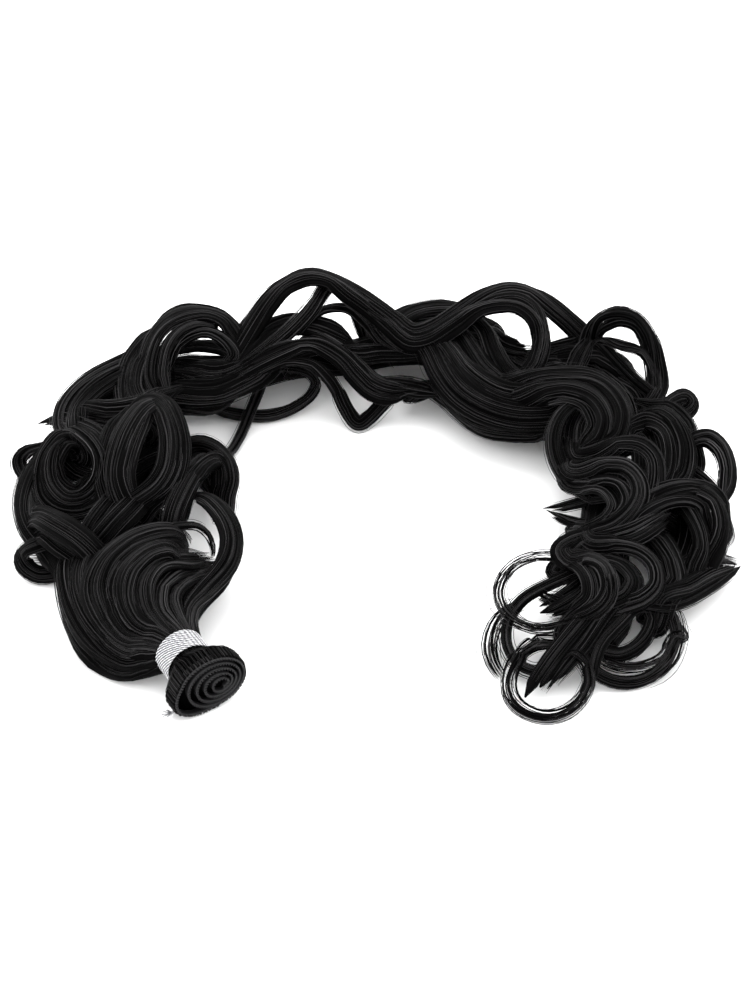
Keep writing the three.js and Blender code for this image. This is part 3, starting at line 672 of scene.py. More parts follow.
shift = add_node(strand_tree, "ShaderNodeVectorMath", {
    0: add_node(strand_tree, "ShaderNodeVectorMath", {0: carried["across"], "Scale": aside}, operation="SCALE"),
    1: add_node(strand_tree, "ShaderNodeVectorMath", {0: carried["proud"], "Scale": depth}, operation="SCALE"),
}, operation="ADD")
strand = add_node(strand_tree, "GeometryNodeSetPosition", {"Geometry": strand, "Offset": shift})
strand_place = laid(strand_tree, add_node(strand_tree, "GeometryNodeInputPosition"), put["Floor"])
strand = add_node(strand_tree, "GeometryNodeSetPosition", {"Geometry": strand, "Position": strand_place})
strand = add_node(
    strand_tree, "GeometryNodeStoreNamedAttribute", {"Geometry": strand, "Name": "shade", "Value": shade_lot},
    data_type="FLOAT", domain="POINT",
)
# It is from 0.5 to 1.4 times as thick as the others, ends where it likes, and thins out at its tip.
girth = add_node(strand_tree, "ShaderNodeMath", {0: size_lot, 1: 0.9, 2: 0.5}, operation="MULTIPLY_ADD")
strand = add_node(
    strand_tree, "GeometryNodeStoreNamedAttribute", {"Geometry": strand, "Name": "girth", "Value": girth},
    data_type="FLOAT", domain="POINT",
)
cut = add_node(strand_tree, "ShaderNodeMath", {0: tip_lot, 1: put["TipTrim"]}, operation="MULTIPLY")
strand = add_node(strand_tree, "GeometryNodeTrimCurve", {
    "Curve": strand,
    "Start": add_node(strand_tree, "ShaderNodeMath", {0: root_lot, 1: put["RootTrim"]}, operation="MULTIPLY"),
    "End": add_node(strand_tree, "ShaderNodeMath", {0: 1.0, 1: cut}, operation="SUBTRACT"),
}, mode="FACTOR")
strand = add_node(
    strand_tree, "GeometryNodeSetCurveNormal", {"Curve": strand, "Normal": carried["proud"]}, mode="FREE")
hoop = add_node(strand_tree, "GeometryNodeCurvePrimitiveCircle", {"Resolution": put["Sides"], "Radius": put["Radius"]})
hoop_spot = add_node(strand_tree, "ShaderNodeSeparateXYZ", {0: add_node(strand_tree, "GeometryNodeInputPosition")})
hoop = add_node(
    strand_tree, "GeometryNodeStoreNamedAttribute", {"Geometry": hoop, "Name": "spread", "Value": hoop_spot.outputs[1]},
    data_type="FLOAT", domain="POINT",
)
hoop = add_node(strand_tree, "GeometryNodeTransform", {
    "Geometry": hoop, "Scale": add_node(strand_tree, "ShaderNodeCombineXYZ", {"X": put["Flat"], "Y": 1.0, "Z": 1.0})})
thinning = add_node(strand_tree, "ShaderNodeMapRange", {
    "Value": add_node(strand_tree, "GeometryNodeSplineParameter").outputs["Factor"],
    "From Min": 0.86, "From Max": 1.0, "To Min": 1.0, "To Max": 0.15,
})
girth = add_node(strand_tree, "GeometryNodeInputNamedAttribute", {"Name": "girth"}, data_type="FLOAT")
girth = add_node(strand_tree, "ShaderNodeMath", {0: girth, 1: thinning}, operation="MULTIPLY")
strand = add_node(
    strand_tree, "GeometryNodeCurveToMesh",
    {"Curve": strand, "Profile Curve": hoop, "Fill Caps": True, "Scale": girth},
)
ended(strand_tree, strand, put["Finish"])

# The roots: behind the sewn edge the hair runs back over the roll and is drawn together under the tie. A core of
# hair fills the roll's back, the binding and the fan, and short tufts lie over the roll's edge like the ribs of a fan.
ROOT_TUFTS = 50
ROOT_HALF = (0.62 * MM, 0.55 * MM)  # half the width and depth of a tuft
ROOT_TAPER = 0.7  # the share of them that is left under the tie
ROOT_LENGTH = 14 * MM
ROOT_WAIST = 7.0 * MM  # how far from the neck's middle the tufts go under the tie
ROOT_RUN = [  # out from the sewn edge in mm, share of the way in to the waist, along the neck in mm
    (0.3, 0, -13.4), (0.5, 0, -12.2), (0.5, 0, -9.2), (0.5, 0, -7.8), (0.5, 0.3, -6.7), (0.5, 0.85, -5.9),
    (0.5, 1, -4.4),
]
CORE_SIDES = 32
CORE_INSET, CORE_FRONT = 0.5 * MM, -11.4 * MM  # it begins inside the roll's outer turn, at this place along the neck
CORE = [  # along the neck, half width, half height, aside, up, all in mm
    (-10.9, 11.6, 9.7, -3.5, -2.7), (-7.9, 11.2, 9.4, -3.2, -2.6), (-6.2, 6.8, 6.7, 0, 0), (5.6, 6.7, 6.7, 0, 0),
    (11, 9.5, 6.8, 2, -0.8), (22, 15, 6.4, 4, -1.5), (36, 20, 6.2, 1.5, -1.5), (50, 22, 5.4, -4, -1), (60, 18, 3, -7, 0),
]
core_angle = np.linspace(0, 2 * np.pi, CORE_SIDES, endpoint=False)
core_turn = (core_angle - ROLL_START) / (2 * np.pi) % 1
core_front = np.stack(roll_line(core_turn)) - CORE_INSET * np.stack(roll_out(core_turn))
core_rings = np.stack([place(*core_front, CORE_FRONT)] + [
    place(*(np.stack([aside + wide * np.cos(core_angle), up + high * np.sin(core_angle), 0 * core_angle + at]) * MM))
    for at, wide, high, aside, up in CORE
])
# The core takes the hair painted in shade.
core = swept("hair_core", core_rings, hair_painted_shade)
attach(core, "root")
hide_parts("hair_tress")

root_lines = []
for turn in np.linspace(0.0, 1.0, ROOT_TUFTS):
    edge, out = np.array(roll_line(turn)), np.array(roll_out(turn))
    aim = edge - np.array((ROLL_SIDE, ROLL_DROP))
    aim /= np.linalg.norm(aim)
    stops = [
        (*((1 - share) * (edge + proud * MM * out) + share * ROOT_WAIST * aim), at * MM) for proud, share, at in ROOT_RUN
    ]
    points = place(*rounded(np.array(stops), 3).T)
    outward = np.repeat((OUTSIDE * out[0] + UP * out[1])[None], len(points), 0)
    run = np.gradient(points, axis=0)
    run /= np.linalg.norm(run, axis=1, keepdims=True)
    outward -= run * (outward * run).sum(1, keepdims=True)
    outward /= np.linalg.norm(outward, axis=1, keepdims=True)
    steady = np.ones(len(points))
    drawn_in = np.linspace(1, ROOT_TAPER, len(points))
    root_lines.append({
        "points": points, "across": np.cross(outward, run), "proud": outward, "half_width": drawn_in * ROOT_HALF[0],
        "half_thick": drawn_in * ROOT_HALF[1], "swell": steady, "stray": steady,
        "along": np.linspace(0, ROOT_LENGTH, len(points)) + turn,
    })
root_guide = guide("root_paths", root_lines)
# The tufts take the hair painted in shade, their strands the strands painted with sheen.
for root_layer, tree, finish, recipe in (
    ("hair_root_tufts", ribbon_tree, hair_painted_shade, dict(Sides=8, Ridges=2500.0, Height=0.1 * MM, Waves=60.0)),
    ("hair_root_strands", strand_tree, strands_painted_sheen, dict(
        Count=4, Across=1.0, Deep=1.1, Inside=0.1, Wander=0.12 * MM, Waves=200.0, Radius=0.11 * MM, Flat=1.0, Sides=3,
        RootTrim=0.05, TipTrim=0.0)),
):
    roots = baked(root_layer, root_guide, tree, Floor=0.2 * MM, Seed=5, Finish=finish, **recipe)
    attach(roots, "root")
    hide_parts("hair_tress")
bpy.data.objects.remove(root_guide)

# The tress underneath: thick locks that lie on the table and carry all the others. Each is a handful of hair ribbons
# laid slowly round each other.
UNDER_LOCKS = {  # breadth and depth in mm, then the path as the camera sees it
    "left_outer": (17, 17, [(66, 572, 8), (50, 526, 8), (50, 486, 8), (70, 450, 8), (104, 420, 8), (148, 396, 8),
        (198, 380, 8), (244, 373, 8)]),
    "left_inner": (17, 19, [(112, 576, 9), (106, 532, 9), (114, 494, 9), (136, 464, 9), (166, 442, 9)]),
    "left_bulge": (10, 13, [(214, 500, 6), (216, 480, 6), (203, 464, 7), (178, 466, 8), (150, 480, 9)]),
    "top": (13, 17, [(196, 386, 8), (244, 374, 8), (292, 362, 8), (342, 359, 8), (392, 349, 8), (438, 352, 8),
        (466, 386, 8)]),
    "swag": (18, 17, [(436, 350, 8), (462, 390, 8), (502, 412, 8), (550, 421, 8), (594, 432, 8)]),
    "right_inner": (18, 19, [(560, 420, 9), (592, 450, 9), (604, 492, 9), (604, 534, 9), (606, 574, 8), (608, 616, 7),
        (602, 646, 6)]),
    "right_outer": (17, 17, [(588, 396, 8), (640, 414, 8), (668, 452, 8), (680, 494, 8), (692, 530, 8), (690, 562, 7),
        (672, 588, 7), (642, 604, 7)]),
}
UNDER_RIBBONS, UNDER_TWIST = 5, 14.0  # ribbons in a thick lock, and their turning, in radians a metre
UNDER_OUT, UNDER_HALF = 0.52, (0.62, 0.42)  # a ribbon's place, half width and half depth, as shares of the thick lock's
CARRIER_STEP = 5 * MM

locks = {"under": [], "fan": [], "wide": [], "middling": [], "thin": []}
carriers = [place(0.0, 0.0, np.array([22, 30, 38, 46, 54]) * MM)]  # what the locks grow from: the fan, and this tress
for breadth, depth, path in UNDER_LOCKS.values():
    carriers.append(evenly(seen_at(path), CARRIER_STEP)[0])
    whole = lock_guide_line(seen_at(path), breadth * MM, depth * MM, ends=(0.6, 0.6))
    run = np.gradient(whole["points"], axis=0)
    run /= np.linalg.norm(run, axis=1, keepdims=True)
    for number in range(UNDER_RIBBONS):
        angle = 2 * np.pi * number / UNDER_RIBBONS + UNDER_TWIST * whole["along"]
        aside = (np.cos(angle) * whole["half_width"])[:, None] * whole["across"]
        rise = (np.sin(angle) * whole["half_thick"])[:, None] * whole["proud"]
        proud = (aside + rise) / np.linalg.norm(aside + rise, axis=1, keepdims=True)
        locks["under"].append(dict(
            whole, points=whole["points"] + UNDER_OUT * (aside + rise), proud=proud, across=np.cross(proud, run),
            half_width=UNDER_HALF[0] * (whole["half_width"] + whole["half_thick"]) / 2,
            half_thick=UNDER_HALF[1] * whole["half_thick"],
        ))
carriers = np.vstack(carriers)

# The locks that show, from the fan at the binding to the rings at the tip. A lock is a few flat ribbons of combed
# hair lapped side by side, with wisps, single strands and flyaways on them, and its ends lead down into the tress.
FAN = {  # width in mm; where it passes the binding, aside and up in mm; then its path as the camera sees it
    "fan_under_left": (12, (4.5, -3.5), [(147, 668, 7), (122, 667, 6), (104, 656, 5), (88, 636, 6), (77, 610, 7),
        (72, 585, 9), (71, 562, 11), (74, 540, 13)]),
    "fan_left_edge": (13, (4.5, -0.5), [(148, 659, 11), (126, 657, 11), (103, 640, 12), (86, 617, 13), (76, 592, 15),
        (73, 566, 16), (80, 542, 15)]),
    "fan_left_between": (13, (4.3, 1.5), [(147, 650, 14), (125, 645, 15), (105, 624, 16), (91, 600, 18), (86, 577, 19),
        (93, 555, 20), (110, 540, 18)]),
    "fan_left_swirl": (12, (4, 3), [(147, 643, 17), (125, 636, 18), (107, 613, 20), (99, 588, 22), (108, 564, 25),
        (129, 545, 27), (153, 535, 27), (173, 534, 24), (186, 542, 19), (191, 555, 13)]),
    "fan_middle_swirl": (12, (1.5, 4.5), [(155, 634, 20), (135, 623, 22), (122, 598, 24), (125, 575, 26),
        (142, 556, 27), (163, 547, 26), (178, 552, 22), (184, 564, 16)]),
    "fan_inner_swirl": (12, (0, 1.5), [(163, 632, 20), (148, 613, 22), (143, 590, 24), (152, 570, 24), (170, 560, 21),
        (190, 557, 17), (207, 558, 12)]),
    "fan_straight_left": (11, (-1.5, 5), [(170, 625, 20), (159, 608, 22), (160, 587, 21), (173, 571, 18),
        (194, 562, 14), (213, 558, 11)]),
    "fan_straight_middle": (10, (-3.5, 3), [(179, 623, 19), (171, 604, 19), (176, 586, 17), (190, 573, 14),
        (208, 565, 11), (221, 561, 9)]),
    "fan_straight_right": (9, (-5, 0), [(187, 624, 16), (182, 603, 15), (190, 588, 13), (204, 576, 11), (217, 568, 9)]),
    "fan_right_loop": (7.8, (-5.5, 2.5), [(190, 622, 17), (193, 606, 17), (206, 590, 17), (221, 574, 18),
        (230, 557, 20), (232, 538, 22), (226, 520, 24), (214, 505, 24), (199, 497, 22), (183, 501, 18)]),
    "fan_right_loop_under": (6, (-5, -3), [(188, 630, 9), (193, 613, 9), (203, 599, 9), (216, 585, 10), (225, 568, 11),
        (227, 549, 13), (222, 530, 15)]),
    "fan_under_middle": (13, (0, -5), [(158, 655, 8), (138, 635, 8), (124, 608, 9), (122, 580, 10), (132, 556, 12),
        (150, 538, 14)]),
    "fan_under_right": (10, (-2, -4), [(176, 632, 8), (168, 606, 8), (163, 582, 9), (162, 560, 11), (164, 543, 13)]),
}
LEFT_LOCKS = {  # width in mm, then the path as the camera sees it
    "crossing_band": (9, [(40, 517, 21), (54, 523, 24), (70, 532, 25), (86, 544, 24), (98, 557, 20), (106, 570, 14)]),
    "crossing_band_under": (8, [(46, 534, 17), (62, 545, 19), (78, 557, 17), (90, 569, 14)]),
    "second_band": (9, [(152, 488, 22), (136, 503, 24), (119, 520, 24), (104, 537, 20), (94, 550, 15)]),
    "second_band_beside": (8, [(118, 498, 22), (104, 512, 23), (94, 526, 21), (88, 540, 17)]),
    "arch_over_fan": (3, [(158, 530, 22), (177, 526, 24), (195, 526, 23), (207, 534, 19), (213, 547, 14),
        (212, 562, 9)]),
    "low_loop": (6.5, [(78, 560, 7), (56, 572, 4), (39, 575, 3), (26, 567, 5), (23, 555, 9), (32, 546, 13),
        (48, 541, 14), (66, 543, 12)]),
    "low_loop_hollow": (9, [(76, 549, 9), (58, 553, 8), (44, 556, 6), (30, 557, 5)]),
    "left_column": (7, [(48, 452, 20), (32, 468, 20), (23, 489, 19), (21, 509, 18), (26, 528, 16), (38, 543, 13),
        (56, 554, 9)]),
    "small_loop": (6, [(62, 443, 20), (44, 447, 18), (27, 452, 15), (19, 461, 12), (23, 473, 11), (37, 481, 13)]),
    "left_ring": (7, [(64, 430, 31), (76, 430, 34), (91, 441, 34), (101, 461, 30), (98, 482, 25), (84, 498, 20),
        (66, 500, 18), (52, 486, 20), (49, 466, 24), (56, 446, 28), (70, 436, 30)]),
    "left_ring_outer": (6, [(58, 436, 26), (44, 454, 24), (38, 476, 20), (42, 498, 17), (58, 512, 15), (80, 514, 16),
        (100, 503, 20), (112, 486, 24)]),
    "left_ring_inner": (5, [(66, 446, 26), (58, 464, 22), (62, 482, 18), (76, 490, 17), (90, 480, 20)]),
    "left_ring_hollow": (7, [(58, 462, 14), (74, 472, 14), (90, 478, 14), (104, 476, 14)]),
    "left_coil": (9, [(166, 397, 35), (144, 408, 37), (127, 431, 36), (118, 457, 33), (116, 481, 29), (123, 502, 24),
        (136, 516, 18)]),
    "left_coil_inner": (7.5, [(163, 407, 33), (151, 409, 35), (139, 427, 36), (130, 451, 34), (126, 475, 30),
        (130, 496, 25), (143, 508, 20)]),
    "left_coil_outer": (9, [(130, 408, 33), (116, 430, 33), (108, 455, 31), (106, 478, 27), (110, 498, 22)]),
    "right_coil": (8, [(134, 412, 32), (144, 403, 35), (156, 404, 36), (166, 420, 36), (171, 443, 34), (167, 468, 31),
        (156, 487, 28), (140, 500, 25), (125, 510, 20)]),
    "right_coil_outer": (6.5, [(144, 399, 33), (156, 396, 35), (170, 407, 35), (179, 428, 33), (182, 450, 31),
        (178, 472, 29), (168, 491, 26), (152, 505, 22)]),
    "hanging_lock": (8, [(206, 460, 24), (191, 477, 26), (180, 497, 26), (173, 516, 23), (171, 534, 17),
        (170, 550, 11)]),
    "hanging_lock_beside": (6, [(196, 474, 22), (187, 494, 24), (182, 512, 22), (179, 530, 17), (177, 547, 11)]),
    "inner_bulge": (5.5, [(180, 447, 22), (198, 441, 25), (216, 447, 26), (229, 462, 25), (233, 480, 22),
        (230, 495, 18)]),
    "inner_bulge_middle": (8, [(178, 502, 22), (189, 483, 25), (203, 467, 27), (216, 460, 26), (224, 471, 22),
        (222, 490, 16)]),
    "inner_bulge_low": (6, [(190, 455, 20), (206, 450, 21), (220, 460, 20), (226, 478, 17), (222, 496, 13)]),
    "loose_inner_lock": (4.5, [(268, 366, 14), (259, 390, 9), (250, 412, 5), (241, 434, 2.5), (230, 452, 2.5),
        (212, 464, 6)]),
    "shoulder_arch": (8, [(240, 340, 28), (224, 320, 35), (201, 313, 38), (176, 318, 38), (157, 334, 37),
        (147, 356, 34), (145, 380, 30), (153, 402, 26)]),
    "shoulder_arch_outer": (5, [(236, 330, 30), (220, 314, 35), (200, 309, 37), (180, 310, 37), (163, 320, 36),
        (150, 338, 33)]),
    "shoulder_arch_inner": (7, [(218, 327, 33), (196, 323, 36), (176, 333, 36), (164, 351, 34), (161, 373, 31),
        (167, 393, 28), (180, 404, 25)]),
    "shoulder_fall": (8, [(160, 326, 31), (141, 345, 32), (129, 363, 30), (124, 386, 28), (128, 406, 26),
        (140, 420, 24)]),
    "shoulder_fall_beside": (7, [(150, 345, 34), (137, 365, 33), (134, 388, 31), (142, 408, 29)]),
    "outer_sweep": (8, [(152, 352, 24), (124, 362, 26), (97, 375, 26), (76, 391, 25), (64, 409, 23), (63, 426, 22),
        (74, 440, 22)]),
    "outer_sweep_inner": (8, [(142, 366, 28), (116, 376, 29), (94, 390, 28), (80, 407, 27), (76, 424, 26)]),
    "cross_sweep": (9, [(78, 412, 25), (94, 412, 28), (112, 413, 29), (140, 408, 31), (162, 396, 32), (184, 387, 32)]),
    "cross_sweep_low": (7, [(84, 420, 23), (98, 420, 26), (114, 421, 27), (136, 418, 29)]),
    "outer_tuft": (6.5, [(112, 466, 26), (107, 448, 29), (95, 433, 29), (75, 424, 25), (55, 421, 19), (38, 426, 15)]),
    "shoulder_ring": (7, [(170, 354, 27), (184, 338, 31), (205, 332, 33), (224, 340, 31), (236, 356, 26),
        (226, 372, 21)]),
    "shoulder_hollow": (9, [(158, 368, 20), (182, 364, 21), (206, 366, 21), (232, 366, 21)]),
    "shoulder_hollow_upper": (7, [(172, 350, 24), (198, 346, 25), (222, 349, 24), (238, 360, 21)]),
    "outer_sweep_fill": (9, [(142, 382, 21), (114, 393, 21), (92, 405, 21), (80, 420, 19)]),
    "shoulder_run": (10, [(172, 372, 26), (190, 372, 27), (212, 376, 26), (236, 372, 25), (262, 356, 28)]),
    "shoulder_run_low": (10, [(170, 392, 24), (196, 392, 25), (224, 389, 23), (252, 377, 22), (276, 360, 22)]),
    "shoulder_run_lowest": (9, [(186, 406, 16), (206, 405, 16), (226, 399, 15), (240, 392, 14)]),
}
TOP_LOCKS = {
    "first_crest": (7.6, [(234, 362, 24), (250, 333, 31), (267, 307, 38), (280, 292, 42), (296, 281, 44),
        (313, 278, 45), (331, 283, 44), (350, 296, 41), (375, 315, 34), (393, 331, 30), (411, 343, 27), (431, 340, 28),
        (453, 326, 33), (475, 312, 38), (499, 306, 41), (521, 309, 40), (536, 323, 36), (541, 343, 30), (535, 363, 26),
        (522, 382, 22)]),
    "outer_crests": (8, [(252, 322, 30), (272, 295, 38), (294, 279, 43), (312, 275, 44), (332, 281, 43), (354, 294, 40),
        (376, 309, 36), (394, 322, 32), (413, 334, 29), (437, 327, 30), (461, 311, 34), (485, 296, 38), (509, 289, 40),
        (531, 294, 39), (553, 309, 35), (572, 325, 29), (588, 340, 24)]),
    "second_crest_fill": (6.5, [(447, 330, 30), (470, 313, 36), (494, 301, 40), (516, 298, 41), (533, 307, 39),
        (541, 323, 35), (542, 343, 30), (534, 364, 25)]),
    "rising_lock": (7, [(208, 396, 20), (234, 375, 24), (261, 355, 29), (286, 335, 33), (304, 317, 36), (317, 301, 38),
        (327, 287, 40), (343, 288, 40), (360, 301, 37)]),
    "rising_lock_beside": (10, [(216, 392, 20), (244, 374, 23), (272, 359, 25), (298, 350, 27), (322, 347, 27),
        (344, 353, 25)]),
    "crest_fill": (10.5, [(240, 362, 24), (256, 346, 27), (272, 331, 29), (290, 324, 30), (308, 324, 30),
        (326, 328, 29), (344, 336, 27), (362, 347, 25)]),
    "crest_fill_right": (6, [(364, 308, 30), (376, 326, 28), (388, 341, 26), (404, 352, 24)]),
    "small_arch": (4.4, [(300, 334, 30), (312, 318, 33), (322, 311, 34), (334, 308, 33), (347, 309, 32), (360, 318, 29),
        (372, 331, 26), (384, 349, 22), (394, 368, 17)]),
    "front_wave": (6, [(204, 400, 16), (231, 386, 19), (257, 372, 23), (283, 362, 26), (309, 363, 25), (327, 376, 21),
        (338, 392, 14), (347, 410, 7), (358, 423, 3.5), (371, 416, 4.5), (386, 401, 9), (405, 390, 13), (427, 386, 14),
        (446, 392, 14)]),
    "front_wave_upper": (8, [(214, 386, 21), (240, 371, 25), (267, 357, 29), (293, 347, 31), (318, 346, 29),
        (340, 358, 25), (357, 375, 20), (374, 390, 15), (394, 395, 13), (416, 392, 13)]),
    "low_arch": (5, [(196, 403, 8), (230, 413, 3.5), (262, 416, 3), (288, 411, 3), (309, 398, 6), (315, 383, 12),
        (304, 371, 18), (284, 367, 19), (262, 369, 13)]),
    "falling_lock": (8, [(316, 338, 27), (338, 350, 25), (357, 368, 21), (375, 384, 17), (396, 390, 15),
        (420, 388, 14)]),
    "back_wave": (10, [(396, 322, 24), (410, 313, 27), (428, 308, 28), (446, 307, 28), (466, 312, 26), (479, 322, 22)]),
    "back_wave_low": (8, [(396, 334, 22), (414, 327, 24), (436, 323, 25), (462, 324, 25)]),
    "trough": (8, [(334, 346, 26), (358, 353, 24), (384, 353, 22), (412, 352, 22), (440, 346, 24), (466, 336, 27)]),
    "trough_low": (9, [(372, 380, 16), (398, 385, 15), (424, 390, 14), (448, 396, 14)]),
    "front_swag": (12, [(416, 336, 20), (432, 350, 25), (444, 371, 26), (462, 392, 25), (488, 408, 23), (518, 416, 22),
        (548, 416, 22), (574, 408, 24)]),
    "front_swag_upper": (10, [(430, 336, 23), (446, 350, 27), (463, 371, 28), (484, 387, 27), (509, 397, 26),
        (537, 396, 26), (562, 386, 28)]),
    "front_swag_lower": (8, [(440, 385, 16), (456, 403, 16), (478, 419, 15), (506, 426, 15), (536, 427, 17),
        (560, 422, 20)]),
    "front_swag_edge": (7, [(424, 390, 12), (447, 402, 11), (466, 418, 9), (487, 430, 8), (511, 434, 9), (537, 434, 12),
        (558, 430, 16)]),
    "second_fall": (7, [(468, 316, 30), (485, 330, 31), (494, 350, 30), (505, 368, 28), (521, 382, 26),
        (542, 390, 24)]),
    "second_fall_beside": (8, [(444, 316, 24), (456, 330, 27), (470, 350, 28), (484, 370, 27), (502, 386, 26)]),
    "second_fall_foot": (8, [(486, 332, 26), (502, 346, 25), (522, 352, 24), (544, 348, 24)]),
    "second_fall_gap": (8, [(504, 352, 21), (520, 361, 21), (538, 365, 21), (556, 364, 21)]),
    "second_rim": (5, [(528, 354, 20), (552, 347, 22), (574, 341, 24), (594, 330, 26)]),
    "second_rim_low": (9, [(536, 362, 20), (562, 356, 22), (590, 355, 24), (616, 363, 25)]),
    "third_loop": (6.5, [(584, 354, 22), (589, 334, 30), (601, 318, 38), (619, 312, 43), (638, 319, 42), (652, 339, 37),
        (659, 363, 30), (661, 386, 24), (652, 404, 22)]),
    "third_loop_second": (6.5, [(592, 354, 22), (597, 337, 29), (607, 326, 36), (621, 321, 40), (636, 327, 39),
        (647, 343, 35), (653, 364, 29), (655, 388, 24)]),
    "third_loop_inner": (4.6, [(590, 348, 24), (604, 341, 30), (622, 346, 34), (642, 353, 33), (655, 373, 27),
        (656, 394, 22)]),
    "third_loop_foot": (5, [(584, 336, 26), (601, 345, 28), (618, 362, 27), (637, 381, 25), (654, 396, 23)]),
    "third_loop_post": (8, [(576, 366, 22), (584, 348, 26), (596, 332, 30)]),
    "third_loop_gap": (8, [(588, 352, 21), (604, 366, 21), (620, 380, 21), (638, 393, 21)]),
    "outer_knob": (6, [(650, 412, 26), (668, 402, 29), (684, 395, 29), (692, 402, 27), (686, 412, 24), (675, 409, 25),
        (681, 401, 27)]),
}
